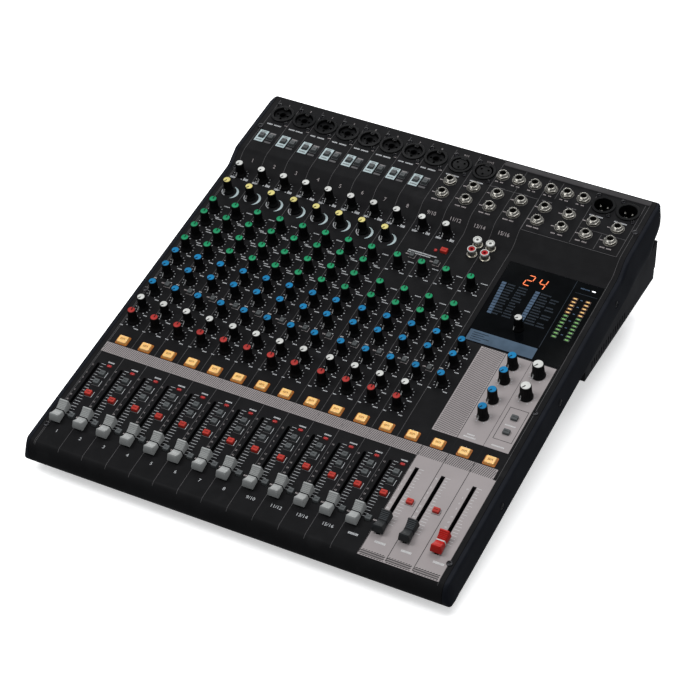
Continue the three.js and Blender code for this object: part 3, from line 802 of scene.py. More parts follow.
def master_knobs():
    looks = {f"aux_master_knob_{i}": ("cap_blue", 1.0, MINIMUM) for i in range(1, 5)}
    looks["phones_level_knob"] = looks["monitor_level_knob"] = ("cap_white", 1.2, MINIMUM)
    looks["program_knob"] = ("cap_white", 0.9, math.radians(-135))
    for node, (cap, scale, turn) in looks.items():
        moving_piece(node, "_shape", "knob_plastic", knob(cap, scale), PANEL.at(*PANEL.spot(node), 0, turn))


# ---- faders

RIDGES, RIDGE_START, RIDGE_PITCH, RIDGE_HEIGHT = 5, 1.7, 1.5, 0.6
CAP_REACH, CAP_SADDLE, CAP_RISE = 9.4, 8.2, 3.9
LIGHT_CAPS, DARK_CAPS = 13, 2


def fader_height(s):
    """The top of a fader cap, s from its middle: a saddle with ridges behind its middle line."""
    t = s / CAP_REACH
    height = CAP_SADDLE + CAP_RISE * t * t
    if RIDGE_START < s < RIDGE_START + RIDGE_PITCH * RIDGES:
        height += RIDGE_HEIGHT * math.sin(math.pi * ((s - RIDGE_START) / RIDGE_PITCH % 1)) ** 2
    return height


def fader_sections():
    ends = [(-11.0, 3.4), (-10.95, 6.4), (-10.5, 9.6), (-10.1, 11.2), (-9.7, 11.85)]
    middle = row(-9.3, 0.62, 14) + [-0.65, 0.65] + row(1.2, 0.19, 41)
    return ends + [(s, fader_height(s)) for s in middle] + [(-s, h) for s, h in ends[::-1]]


def fader_ring(s, top, grow=0.0):
    """The cross-section of a fader cap, s from its middle."""
    half = 5.5 - 0.55 * math.cos(math.pi * min(1.0, abs(s) / 11) / 2) ** 2 + grow
    crown = half - 0.9 - 0.05 * (top - 8)
    edge = min(0.5, (top - 3) * 0.4)
    top += grow
    side = [(half, 3.0), (half, 3.0 + (top - 3) * 0.45), (crown + 0.15, top - edge), (crown - 0.35, top)]
    return [(x, s, h) for x, h in side] + [(-x, s, h) for x, h in side[::-1]]


def fader_cap(look):
    build = Build().add(loft([fader_ring(s, top) for s, top in fader_sections()]), look)
    line = "mark_white" if look == "fader_red" else "mark_dark"
    build.add(loft([fader_ring(s, fader_height(s), 0.09) for s in (-0.62, 0.62)]), line)
    # A bar in each groove between the ridges, in a shade of the cap's colour: painted shade on the light
    # and red caps, a painted highlight on the dark ones.
    for i in range(RIDGES):
        at = RIDGE_START + RIDGE_PITCH * i
        half = 3.5 + 0.08 * at
        build.add(bar(-half, half, at - 0.3, at + 0.3, 8.0, fader_height(at) + 0.1),
                  look.replace("fader", "groove"))
    build.add(bar(-0.7, 0.7, -4, 4, -9, 3.6), "slot_lining")
    return build


def faders():
    order = sorted(FADERS, key=lambda n: FADERS[n][0])
    for i, node in enumerate(order):
        dark = LIGHT_CAPS <= i < LIGHT_CAPS + DARK_CAPS
        look = "fader_light" if i < LIGHT_CAPS else "fader_dark" if dark else "fader_red"
        moving_piece(node, "_cap", look, fader_cap(look), PANEL.at(*FADERS[node]), 28)
    length, lining = SLOT_S[1] - SLOT_S[0], Build()
    end = length / 2 - 1
    for x in SLOT_X:
        trough = loft([round_rect(8, length + 6, 3, h) for h in (-12, -SHEET - 0.2)])
        groove = bar(-1.2, 1.2, -end, end, -11, 2)
        lining.add(carved(trough, groove), "slot_lining", PANEL.at(x, sum(SLOT_S) / 2))
    lining.piece("fader_tracks", "black_plastic")


# ---- buttons

def small_keys():
    """(x, s, width, look) of every small key of the panel."""
    keys = []
    for node, s in ROW_S_KEYS.items():
        look = "button_red" if node == "group_button" else "button_grey"
        width = 6.4 if node == "group_button" else 5.6
        wide = WIDE_KEY_X if node == "group_button" else WIDE_KEY_X[:5]
        keys += [(x, s, width, look) for x in KEY_X + wide]
    keys += [(x, s, 4.6 if x < MASTER_X else 6.6, "button_grey") for x, s in FILTER_KEYS + LONE_KEYS]
    keys.append((*PHANTOM, 7.0, "button_red"))
    return keys


SMALL_KEYS = small_keys()


def small_key(width, look):
    build = Build().add(key(width, 5.4, -3.5, 3.0, 0.5, 0.45), look)
    return build.add(bar(-width / 2 + 1.3, width / 2 - 1.3, -0.2, 0.2, 2.9, 3.08), "mark_dark")


# The strokes of the greeked word on a lit key: x0, x1, s0, s1.
ON_WORD = ((-2.4, -1.9, -1, 1), (-0.7, -0.2, -1, 1), (-1.9, -0.7, 0.5, 1), (-1.9, -0.7, -1, -0.5),
           (0.4, 0.9, -1, 1), (1.9, 2.4, -1, 1), (0.9, 1.9, 0.5, 1))


def on_key():
    build = Build().add(key(10.0, 8.6, -3.5, 2.9, 1.1, 0.8, 5, 0.1), "amber_key")
    return build.bars("amber_mark", Matrix(), ON_WORD, (2.7, 2.96))


# The ring in the gap round each lit key, a painted glow of the key's light: width and height of its
# section.
ON_GLOW_RING = ((10.4, -2.6), (12.8, -2.6), (12.8, 0.3), (12.5, 0.6), (10.7, 0.6), (10.4, 0.4))


def place_key(node, group, look, shape, at):
    """A key that moves is a piece of its own; the others join their group's piece."""
    if node:
        moving_piece(node, "_key", look, shape, at)
    else:
        group.merge(shape, at)


def panel_keys(fixed):
    moving = {PANEL.spot(n): n for n in [*ROW_S_KEYS, "phantom_power_button"]}
    for x, s, width, look in SMALL_KEYS:
        node = next((n for (a, b), n in moving.items() if abs(a - x) + abs(b - s) < 0.5), None)
        shape, at = small_key(width, look), PANEL.at(x, s)
        group = fixed["group_keys" if look == "button_red" else "small_keys"]
        place_key(node, group, look, shape, at)


def on_keys(fixed):
    glow_ring = loft([round_rect(w, w - 1.4, 1.3, h) for w, h in ON_GLOW_RING], wrap=True)
    for x in ON_X + WIDE_ON_X:
        at = PANEL.at(x, ROW_S_ON)
        if x != ON_X[0]:
            fixed["on_keys"].merge(on_key(), at)
        # Each lit key gets a ring that glows amber round it, a painted glow of the key's light.
        fixed["on_frames"].add(glow_ring, "amber_frame", at)
    moving_piece("on_button", "_key", "button_amber", on_key(), PANEL.at(*PANEL.spot("on_button")))


def deck_keys(fixed):
    shape = small_key(5.4, "button_grey")
    for x, node in zip(KEYS_ACROSS_DECK, [*DECK_KEYS] + [""] * len(KEYS_ACROSS_DECK)):
        at = DECK.at(x, DECK_KEYS["pad_button"][1])
        place_key(node, fixed["deck_keys"], "button_grey", shape, at)


def buttons():
    slots = {"group_keys": "button_red", "small_keys": "button_grey", "on_keys": "button_amber",
             "on_frames": "button_amber", "deck_keys": "button_grey"}
    fixed = {name: Build() for name in slots}
    for fill in (panel_keys, on_keys, deck_keys):
        fill(fixed)
    for name, build in fixed.items():
        build.piece(name, slots[name])


# ---- sockets

HOUSING = ((11.4, -22), (11.4, 0.15), (12.3, 0.15), (12.3, 1.3), (11.9, 1.7), (9.7, 1.7), (9.3, 1.3),
           (9.3, -14), (8.7, -14), (8.7, -22))


def housing():
    return Build().add(turned(HOUSING, 56, hollow=True), "socket_black")


def spread(shell, radius, degrees):
    """Copies of a shell round the origin; angles run clockwise from the rear."""
    angles = [math.radians(a) for a in degrees]
    return [moved(shell, radius * math.sin(a), radius * math.cos(a)) for a in angles]


def combo_socket():
    build = housing()
    insert = turned([(8.9, -21), (8.9, -1.4), (8.6, -1.0), (8.0, -0.9)], 48)
    holes = spread(turned([(1.35, -12), (1.35, 2)], 16), 5.6, (90, 180, 270))
    bore = turned([(3.25, -20), (3.25, 2)], 32)
    build.add(carved(insert, bore, *holes), "socket_black")
    ring = [(3.2, -4), (4.1, -4), (4.1, -0.75), (3.9, -0.55), (3.4, -0.55), (3.2, -0.75)]
    build.add(turned(ring, 36, hollow=True), "slot_lining")
    build.add(moved(key(4.4, 3.2, -6, 1.55, 0.6, 0.4), 0, 8.0), "socket_black")
    return build.add(bar(-1.2, 1.2, 7.4, 8.6, 1.5, 1.62), "slot_lining")


def pins_at(radius, h0, h1, sides=14):
    pin = turned([(radius, h0), (radius, h1 - 0.5), (radius * 0.55, h1)], sides)
    return spread(pin, 4.4, (60, 180, 300))


def female_socket():
    core = turned([(8.0, -21), (8.0, 0.6), (7.7, 0.95), (7.0, 1.0)], 48)
    build = housing().add(carved(core, *pins_at(1.35, -12, 3)), "socket_black")
    build.add(moved(key(6.2, 3.4, -6, 1.6, 0.7, 0.4), 0, 9.2), "socket_black")
    for shell in pins_at(1.3, -9, -6.5):
        build.add(shell, "socket_metal")
    return build


def male_socket():
    build = housing().add(turned([(8.9, -21), (8.9, -15), (8.6, -14.8)], 40), "slot_lining")
    for shell in pins_at(1.2, -16, -3.2, 16):
        build.add(shell, "socket_metal")
    return build.add(moved(key(2.2, 1.6, -14, 0.6, 0.4, 0.2), 0, -8.6), "socket_black")


WASHER = ((4.7, 0.05), (7.0, 0.05), (7.05, 0.35), (6.9, 0.5), (4.7, 0.5))
THREADS, THREAD_PITCH = 8, 0.52
NUT_FLAT, NUT_CORNER, NUT_SIDES = 5.75, 6.5, 36


def jack_socket():
    """A threaded sleeve with its hexagon nut and washer."""
    build = Build()
    profile = [(3.2, -20), (4.3, -20), (4.3, 0.5)]
    for i in range(THREADS):
        h = 0.7 + THREAD_PITCH * i
        profile += [(4.3, h), (4.62, h + 0.26)]
    profile += [(4.3, 4.9), (4.05, 5.0), (3.5, 5.0), (3.2, 4.7)]
    build.add(turned(profile, 36, hollow=True), "socket_metal")
    build.add(turned(WASHER, 40, hollow=True), "nut_metal")
    hexagon = []
    for grow, h in ((0.92, 0.5), (1.0, 0.75), (1.0, 2.2), (0.92, 2.5)):
        ring = []
        for i in range(NUT_SIDES):
            a = math.tau * i / NUT_SIDES
            flat = NUT_FLAT / math.cos((a + math.pi / 6) % (math.pi / 3) - math.pi / 6)
            r = min(flat, NUT_CORNER) * grow
            ring.append((r * math.cos(a), r * math.sin(a), h))
        hexagon.append(ring)
    bore = [circle(4.75, h, NUT_SIDES) for h in (2.5, 0.5)]
    build.add(loft(hexagon + bore, wrap=True), "nut_metal")
    return build.add(turned([(3.1, -19), (3.1, -8)], 20), "slot_lining")


PHONO_BARREL = ((3.4, -6), (4.3, -6), (4.3, 7.9), (4.1, 8.3), (3.6, 8.3), (3.4, 8.0))
PHONO_RIM = ((3.42, 6.6), (4.36, 6.6), (4.42, 7.0), (4.42, 8.1), (4.2, 8.42), (3.6, 8.42), (3.42, 8.2))
PHONO_FLANGE = ((4.35, 0.05), (5.3, 0.05), (5.35, 0.5), (5.1, 1.0), (4.35, 1.0))
PHONO_METAL = ((PHONO_BARREL, "phono_metal"), (PHONO_RIM, "cap_white"), (PHONO_FLANGE, "phono_metal"))


def phono_socket(ring_look):
    build = Build()
    for profile, look in PHONO_METAL:
        build.add(turned(profile, 40, hollow=True), look)
    insulator = turned([(3.35, -5), (3.35, 7.5), (3.1, 7.9), (2.4, 7.9)], 32)
    build.add(carved(insulator, turned([(1.55, -3), (1.55, 9)], 24)), ring_look)
    return build.add(turned([(1.5, -4), (1.5, 4.6)], 20), "slot_lining")


def add_screw(build, plane, x, s, head, look):
    """A screw just over the sheet, turned at random."""
    build.add(head, look, plane.at(x, s, 0.05, rng.uniform(0, 1.5)))


def socket_screws(build, x, w):
    for side in (-1, 1):
        add_screw(build, DECK, x + side * 9.7, w - side * 12.0, screw_head(2.6, 1.3), "screw_black")


def sockets():
    groups = {"combo_sockets": ("input_socket_board", "black_plastic"),
              "jack_sockets": ("line_socket_board", "socket_metal"),
              "three_pin_sockets": ("output_socket_board", "black_plastic")}
    builds = {name: Build() for name in groups}
    jack, screws = jack_socket(), Build()
    for name, shape, columns in (("combo_sockets", combo_socket(), COMBO_X),
                                 ("three_pin_sockets", female_socket(), FEMALE_X),
                                 ("three_pin_sockets", male_socket(), MALE_X)):
        for x in columns:
            builds[name].merge(shape, DECK.at(x, SOCKET_W))
            socket_screws(screws, x, SOCKET_W)
    for x, w in JACKS:
        builds["jack_sockets"].merge(jack, DECK.at(x, w, 0, rng.uniform(0, 1)))
    for name, (node, slot) in groups.items():
        builds[name].piece(name, slot, stands_for=[node])
    screws.piece("socket_screws", "screw_metal")
    phono = Build()
    for x in PHONO_X:
        for s, look in zip(PHONO_S, ("phono_red", "cap_white")):
            phono.merge(phono_socket(look), PANEL.at(x, s))
    phono.piece("phono_socket_shapes", "socket_metal", stands_for=["phono_sockets"])


def rear_ridge():
    """The low rounded ridge along the rear edge of the deck, over the line sockets, painted lighter than
    the cover as a painted highlight.
    """
    build = Build()
    build.add(key(158.0, 6.2, -0.3, 0.95, 1.5, 0.55, 6), "ridge_paint", DECK.at(129.0, 86.6))
    build.piece("deck_ridge", "cover_paint")


COVER_SCREW_X = 208.0
LEFT_SCREWS = ((PANEL, 26.4), (PANEL, 215.4), (PANEL, 402.7), (DECK, 43.5))
RIGHT_SCREWS = ((PANEL, 26.4), (PANEL, 215.4), (DECK, 43.5))


def cover_screws():
    build, head = Build(), screw_head(3.1, 1.4)
    for x, spots in ((-COVER_SCREW_X, LEFT_SCREWS), (COVER_SCREW_X, RIGHT_SCREWS)):
        for plane, s in spots:
            add_screw(build, plane, x, s, head, "screw_metal")
    build.piece("cover_screws", "screw_metal")


# ---- display

# The lit bars of each digit, between the corners 0 1 (bottom), 2 3 (middle) and 4 5 (top).
SEGMENTS = {"2": ((4, 5), (3, 5), (2, 3), (0, 2), (0, 1)), "4": ((2, 4), (2, 3), (3, 5), (1, 3))}
DIGIT_LEAN = 0.12


def seven_segment(digit, width, height, thick, top):
    """The lit bars of a slanted digit, from its lower left corner."""
    corners = [Vector((i % 2 * width, i // 2 * height / 2)) for i in range(6)]
    shells = []
    for start, end in SEGMENTS[digit]:
        a, b = corners[start], corners[end]
        cut = (b - a).normalized() * width * 0.1
        p, q = a + cut, b - cut
        for point in (p, q):
            point.x += point.y * DIGIT_LEAN
        shells.append(stroke(tuple(p), tuple(q), width * thick, 0.2, top))
    return shells


def dashes(build, plane, x, s, width, look, height=1.15, low=INK[0], high=INK[1]):
    """A row of letter-sized blocks that stands for a printed word."""
    end = x + width
    while x < end - 0.4:
        w = rng.uniform(0.55, 1.05)
        build.add(bar(0, w, -height / 2, height / 2, low, high), look, plane.at(x, s))
        x += w + rng.uniform(0.25, 0.45)


SCREEN_INK = (0.1, 0.24)


LIST_ROWS, LIST_TOP, LIST_LENGTH, LIST_LEAN = 12, 357, 357 - 316.5, 2.5


def screen_lists(build):
    """Two numbered lists of greeked effect names; the first list's numbers lean to the right."""
    for i in range(LIST_ROWS):
        s = LIST_TOP - LIST_LENGTH * i / (LIST_ROWS - 1)
        drift = LIST_LEAN * i / (LIST_ROWS - 1)
        for x, name_x, two_words in ((111.3 + drift, 117.6, True), (146.4, 152.6, i % 3)):
            build.add(bar(0, 4.6, -1.45, 1.45, *SCREEN_INK), "screen_text", PANEL.at(x, s))
            dashes(build, PANEL, name_x, s, rng.uniform(7, 10), "screen_dim", 1.7, *SCREEN_INK)
            if two_words:
                dashes(build, PANEL, name_x + 11.5, s, rng.uniform(6, 10), "screen_dim", 1.7, *SCREEN_INK)


METER_X, METER_LAMPS, AMBER_LAMPS = (185.6, 198.7), 12, 5
METER_TOP, METER_LENGTH = 363.5, 53


def screen_meters(build):
    """Two columns of lamps, each a pale dash in its coloured glow, with marks beside the first."""
    for x in METER_X:
        for i in range(METER_LAMPS):
            s = METER_TOP - i * METER_LENGTH / (METER_LAMPS - 1)
            color = "amber" if i < AMBER_LAMPS else "green"
            build.add(key(5.8, 3.1, 0.1, 0.3, 0.6, 0.08, 2), "halo_" + color, PANEL.at(x, s))
            build.add(key(3.5, 1.35, 0.1, 0.48, 0.3, 0.1, 2), "lamp_" + color, PANEL.at(x, s))
            if x == METER_X[0] and i % 2 == 0:
                build.add(bar(5.4, 7.6, -0.5, 0.5, *SCREEN_INK), "screen_text", PANEL.at(x - 0.2, s))


def glass():
    """The display's plate with the hole for the program knob's shaft."""
    size = [high - low for low, high in zip(*PANEL.corners("display_window"))]
    plate = moved(key(*size, -2.0, 0.2, 0.5, 0.15), *PANEL.spot("display_window"))
    return carved(plate, moved(turned([(3.7, -4), (3.7, 4)], 32), *PANEL.spot("program_knob")))


def display():
    build = Build().add(glass(), "display_glass", PANEL.matrix)
    for digit, x in (("2", 131.0), ("4", 144.6)):
        for width, look, top in ((0.165, "segment_amber", 0.3), (0.075, "segment_core", 0.38)):
            for shell in seven_segment(digit, 6.6, 13.5, width, top):
                build.add(shell, look, PANEL.at(x, 362.2))
    build.add(bar(109, 178, 275.8, 290, 0.1, 0.26), "screen_band", PANEL.matrix)
    for s, width in ((287, 16), (284.2, 13), (281.4, 18), (278.6, 11)):
        dashes(build, PANEL, 113, s, width, "slot_lining", 0.8, 0.2, 0.34)
    for p, q in (((178.3, 292), (178.3, 386)), ((182, 371.5), (205, 371.5))):
        build.add(stroke(p, q, 0.45, 0.1, 0.25), "screen_dim", PANEL.matrix)
    screen_lists(build)
    screen_meters(build)
    dashes(build, PANEL, 185, 378.6, 9, "screen_text", 1.4, *SCREEN_INK)
    build.add(key(3.6, 1.4, 0.1, 0.5, 0.4, 0.12, 3), "lamp_white", PANEL.at(198.5, 378.6))
    build.piece("display_panel", "display_glass", stands_for=["display_window"])


# ---- print

def ribbon(build, x, width, path, look, thick=0.05):
    """A printed line that follows the side view of the cover, as a thin closed band."""
    outer, inner = [], []
    for i, (y, z) in enumerate(path):
        a = Vector(path[max(0, i - 1)])
        b = Vector(path[min(len(path) - 1, i + 1)])
        n = Vector((-(b - a).y, (b - a).x)).normalized()
        outer.append((y + n.x * thick, z + n.y * thick))
        inner.append((y - n.x * 0.02, z - n.y * 0.02))
    ring = outer + inner[::-1]
    build.add(loft([[(side, y, z) for y, z in ring] for side in (x - width / 2, x + width / 2)]), look)


def path_between(start_y, end_y):
    """The part of the cover's upper skin between two depths, with both ends on it."""
    path = [p for p in skin_path() if p[1] > 20]
    out = []
    for a, b in zip(path, path[1:]):
        if b[0] <= start_y or a[0] >= end_y:
            continue
        run = max(b[0] - a[0], 1e-6)
        stops = max(0.0, (start_y - a[0]) / run), min(1.0, (end_y - a[0]) / run)
        for t in stops[1 if out else 0:]:
            out.append((a[0] + (b[0] - a[0]) * t, a[1] + (b[1] - a[1]) * t))
    return out


PRINT_START_Y = -247.4
DISPLAY_COLUMNS, MASTER_COLUMNS = (104, 120), (120, 200)


def separators():
    """Hairlines between the channels, and dark lines through the group faders' area."""
    build = Build()
    whole = path_between(PRINT_START_Y, 246.0)
    up_to_display = path_between(PRINT_START_Y, PANEL.side(273.5)[0])
    for x in SEPARATOR_X:
        if MASTER_COLUMNS[0] < x < MASTER_COLUMNS[1]:
            ribbon(build, x, 0.55, path_between(-246, PANEL.side(160)[0]), "ink_black", 0.1)
        else:
            under_display = DISPLAY_COLUMNS[0] < x < DISPLAY_COLUMNS[1]
            ribbon(build, x, 0.32, up_to_display if under_display else whole, "ink_hair")
    ribbon(build, LEFT_PRINT_X, 0.3, path_between(-247, PANEL.side(402)[0]), "ink_hair")
    build.piece("separator_lines", "print_ink")


HATCH_INK = (-0.02, 0.08)


def hatch(build, x0, x1, s0, s1, pitch, width, lean, look):
    """Parallel slanting lines that fill a rectangle; lean is in degrees from the fore-and-aft line."""
    run = (s1 - s0) * math.tan(math.radians(lean))
    x = x0 - run
    while x < x1:
        start, end = max(0.0, (x0 - x) / run), min(1.0, (x1 - x) / run)
        if end - start >= 0.02:
            ends = [(x + run * t, s0 + (s1 - s0) * t) for t in (start, end)]
            build.add(stroke(*ends, width, *HATCH_INK), look, PANEL.matrix)
        x += pitch


def hatches():
    """Dark slanting lines over the pale bands and the pale column."""
    build = Build()
    hatch(build, LEFT_PRINT_X + 0.6, 203.4, 128.3, 139.8, 1.95, 0.85, 14, "ink_band")
    hatch(build, 128.6, 152.0, 162.0, 272.4, 2.5, 0.8, 38, "ink_band")
    for x0, x1 in ((129.0, 152.6), (154.6, 178.6), (181.2, 205.8)):
        hatch(build, x0, x1, 5.2, 11.6, 2.75, 0.95, 48, "ink_black")
    build.piece("hatched_print", "print_ink")


def light_areas():
    """The pale print behind the group faders and the master knobs, and under the hatched parts."""
    slots = [x for x in SLOT_X if x > MASTER_X]
    edges = [MASTER_X] + [v for x in slots for v in (x - 2.0, x + 2.0)] + [RIGHT_PRINT_X]
    low, high = SLOT_S[0] - 1, SLOT_S[1] + 1
    boxes = [(MASTER_X, RIGHT_PRINT_X, 4.4, low), (MASTER_X, RIGHT_PRINT_X, high, 127.8),
             (LEFT_PRINT_X, 204.0, 127.8, 140.3)]
    boxes += [(x0, x1, low, high) for x0, x1 in zip(edges[::2], edges[1::2])]
    boxes += [(x0, x1, 161.0, 273.0) for x0, x1 in ((127.6, 152.8), (153.4, 179.4), (179.8, 204.5))]
    Build().bars("ink_grey", PANEL.matrix, boxes).piece("light_print", "print_ink")


SCALE_INK, RAISED_INK = (-0.02, 0.1), (-0.02, 0.09)
SCALE_DOTS, SCALE_RADIUS = 11, 7.3


def ticks_round(build, x, s, scale, bold, look="ink_white"):
    """The dots of a knob's scale; bold is a set of the dots that are larger."""
    for i in range(SCALE_DOTS):
        a, r = math.radians(-150 + 30 * i), SCALE_RADIUS * scale
        size = 0.55 if i in bold else 0.3
        at = PANEL.at(x + r * math.sin(a), s + r * math.cos(a), 0, a)
        build.add(bar(-size, size, -0.55, 0.55, *SCALE_INK), look, at)


GAIN_WORDS = ((-8.8, -6.4, 4.8, 2.6), (5.8, -5.6, 4.8, 3.0))
SIDE_WORDS = ((-10.6, -8.4, 3.4, 1.2), (5.0, -8.4, 4.2, 1.2))
TITLE_WORD = (6.4, 8.8, 6.6, 1.1)


def strip_marks(build):
    """The scale and the greeked words (x, s, width, height from the knob) round each strip knob."""
    for name in STRIP_ROWS:
        s = ROW_S[name]
        words_here = GAIN_WORDS if name == "gain" else SIDE_WORDS
        if name.endswith(("eq", "frequency")):
            words_here += (TITLE_WORD,)
        for x in row_columns(name):
            if name == "compressor":
                build.add(arc(8.7, 12, 152, 2.5, 0.12, 18), "ink_pale", PANEL.at(x + 1.2, s - 0.9))
                build.add(arc(6.8, -168, -84, 0.9), "ink_white", PANEL.at(x, s))
                continue
            ticks_round(build, x, s, 1.0, {0, 10} if CAPS[name] != "blue" else {8})
            for dx, ds, width, height in words_here:
                dashes(build, PANEL, x + dx, s + ds, width, "ink_white", height)


KEY_FRAME = ((183.5, 184.0, 173.0, 213.8), (202.0, 202.5, 173.0, 213.8),
             (184.0, 202.0, 173.0, 173.5), (184.0, 202.0, 213.3, 213.8))
# x, s and width of the greeked words among the master knobs.
MASTER_WORDS = ((158.0, 165.4, 12.0), (160.0, 168.6, 8.0), (186.0, 165.4, 12.0), (187.5, 192.4, 10.0))


def knob_marks():
    build = Build()
    strip_marks(build)
    build.bars("ink_black", PANEL.matrix, KEY_FRAME, RAISED_INK)
    for word in MASTER_WORDS:
        dashes(build, PANEL, *word, "mark_white", 1.5, *RAISED_INK)
    masters = {f"aux_master_knob_{i}": (1.0, {0, 7, 10}) for i in range(1, 5)}
    masters["phones_level_knob"] = masters["monitor_level_knob"] = (1.2, {0, 10})
    masters["program_knob"] = (1.0, set(), "screen_dim")
    for node, how in masters.items():
        ticks_round(build, *PANEL.spot(node), *how)
    build.piece("knob_scales", "print_ink")


NUMBER_ROW_S, ON_ROW_S = 50, 150
PHANTOM_LAMP = ((1.7, -0.3), (1.7, 0.7), (1.2, 1.3), (0.5, 1.5))


def key_marks():
    """White brackets and words beside the small keys, by row."""
    build = Build()
    for x, s, width, look in SMALL_KEYS:
        edge, at = width / 2 + 0.9, PANEL.at(x, s)
        if s < NUMBER_ROW_S:
            dashes(build, PANEL, x + edge + 0.6, s + 0.6, 4.0, "ink_grey", 1.6)
        elif s < ON_ROW_S:
            build.add(bar(edge, edge + 0.55, -3.5, 3.5), "ink_white", at)
            build.add(bar(-edge, edge + 0.55, -4.0, -3.5), "ink_hair", at)
        elif look == "button_grey" and x < MASTER_X:
            dashes(build, PANEL, x - 7.4, s + 1.0, 3.6, "ink_grey", 1.3)
            build.bars("ink_grey", at, ((edge, edge + 0.4, -2.8, 2.8), (-edge, edge + 0.4, -3.2, -2.8)))
    build.add(turned(PHANTOM_LAMP, 20), "lamp_dark", PANEL.at(PHANTOM[0] - 8.3, PHANTOM[1] - 2.0))
    for s, width, height in ((363.5, 30, 1.4), (361.0, 24, 1.2)):
        dashes(build, PANEL, 8, s, width, "ink_white", height)
    build.piece("key_marks", "print_ink")


LEVELS = ("10", "5", "0", "5", "10", "20", "40")
TICKS, TICKS_TOP, TICKS_LENGTH = 20, 113, 68
LEVEL_S = (108.8, 98.0, 91.0, 84.5, 74.5, 68.0, 61.6)
CHANNEL_NAMES = [str(i + 1) for i in range(MONO)] + ["9/10", "11/12", "13/14", "15/16"]
CHANNEL_INKS = ("ink_white", "ink_grey", 0.0)
GROUP_INKS = ("mark_white", "mark_white", 0.05)
RISER_NUMBER_X, RISER_NUMBER_Y = 1.3, 157.6


def on_skin(y):
    """The plane that touches the cover's upper skin at a depth."""
    (y0, z0), (y1, z1) = path_between(y, y + 2)[::2][:2]
    return Plane(y0, z0, math.atan2(z1 - z0, y1 - y0))


def scale_ticks(ticks, x, ink, heights):
    for k in range(TICKS):
        s = TICKS_TOP - k * TICKS_LENGTH / (TICKS - 1)
        reach = 8.6 if s < 70 else 7.4 if k % 3 == 0 else 6.0
        ticks.add(bar(x + 2.7, x + reach, s - 0.2, s + 0.2, *heights), ink, PANEL.matrix)


def fader_marks():
    """Scales beside the fader slots, and the channel numbers in front of them."""
    numbers, ticks = Build(), Build()
    riser = on_skin(RISER_NUMBER_Y)
    for i, x in enumerate(SLOT_X):
        ink, level_ink, lift = CHANNEL_INKS if x < MASTER_X else GROUP_INKS
        heights = INK[0], INK[1] + lift
        for text, s in zip(LEVELS, LEVEL_S):
            numbers.add(glyph(text, 2.5), level_ink, PANEL.at(x - 5.0, s, lift))
        scale_ticks(ticks, x, ink, heights)
        if i < len(CHANNEL_NAMES):
            numbers.add(glyph(CHANNEL_NAMES[i], 5.2), ink, PANEL.at(x + 6.6, 22.9))
        else:
            dashes(numbers, PANEL, x + 1.0, 22.9, 10.0, ink, 2.4, *heights)
    for name, x in zip(CHANNEL_NAMES, COMBO_X + WIDE_KNOB_X):
        numbers.add(glyph(name, 5.6), "ink_grey", riser.at(x + RISER_NUMBER_X, 0))
    for name, x in zip(CHANNEL_NAMES, [*COMBO_X, *FEMALE_X]):
        numbers.add(glyph(name, 3.2), "ink_grey", DECK.at(x + 0.3, 82.4))
    numbers.piece("numbers", "print_ink")
    ticks.piece("fader_scales", "print_ink")


def words(build, x, w, widths, height, look="ink_white"):
    """Greeked words in a row, with a space between them."""
    for width in widths:
        dashes(build, DECK, x, w, width, look, height)
        x += width + 2.0


def framed(build, x0, x1, w0, w1, border, look):
    """A printed field round a key, with nothing printed under the key."""
    front, rear, side = border
    boxes = ((x0, x1, w0, w0 + front), (x0, x1, w1 - rear, w1), (x0, x0 + side, w0 + front, w1 - rear),
             (x1 - side, x1, w0 + front, w1 - rear))
    build.bars(look, DECK.matrix, boxes)


# Distance from the socket's middle, place along the deck, width, ink and height of each word.
FIELD_WORDS = ((-9.0, 24.4, 7.0, "ink_hair", 1.5), (-8.2, 37.2, 5.4, "ink_hair", 1.2),
               (1.8, 37.0, 5.4, "ink_grey", 1.0))


def label_fields(build, x):
    """The pale field round the pad key and the grey one round the filter key of an input."""
    framed(build, x - 10.4, x - 0.6, 21.8, 38.8, (5.6, 4.4, 1.5), "ink_pale")
    framed(build, x + 1.2, x + 8.4, 26.4, 38.2, (1.0, 3.4, 0.5), "label_dim")
    build.add(bar(x + 1.2, x + 8.4, 22.0, 24.4), "ink_hair", DECK.matrix)
    for dx, *word in FIELD_WORDS:
        dashes(build, DECK, x + dx, *word, *RAISED_INK)


DECK_LINES = (((103, 5.4), (153.5, 5.4)), ((48, 51.2), (101, 51.2)), ((102.3, 5.4), (102.3, 51)),
              ((116.5, 58), (116.5, 82)), ((153.6, 7), (153.6, 82)), ((153.6, 30.4), (203.4, 30.4)),
              ((178.8, 7), (178.8, 28.6)), ((154, 5.4), (203.4, 5.4)), ((203.6, 5.4), (203.6, 83)))


def deck_marks():
    """The label fields, words and group lines of the jack deck."""
    build = Build()
    for x in COMBO_X:
        label_fields(build, x)
        words(build, x - 8.8, 49.8, (6.0, 8.2), 1.7)
        dashes(build, DECK, x + 9.6, 53.0, 3.0, "ink_grey", 1.2)
    for x in PAIR_X:
        words(build, x - 7.0, 12.6, (5.0, 5.0), 1.5, "ink_grey")
        for w in (22.0, 41.0):
            dashes(build, DECK, x - 10.6, w, 3.6, "ink_grey", 1.2)
        words(build, x - 7.0, 51.6, (4.0, 5.0), 1.2, "ink_hair")
    for x in ROW_X:
        words(build, x - 4.5, 59.6, (3.4, 3.4), 1.3, "ink_grey")
    for x in FEMALE_X + MALE_X:
        words(build, x - 8.0, 50.6, (5.0, 7.0), 1.4)
    for p, q in DECK_LINES:
        build.add(stroke(p, q, 0.36), "ink_hair", DECK.matrix)
    build.piece("deck_print", "print_ink")


LAMP_S = 112.5


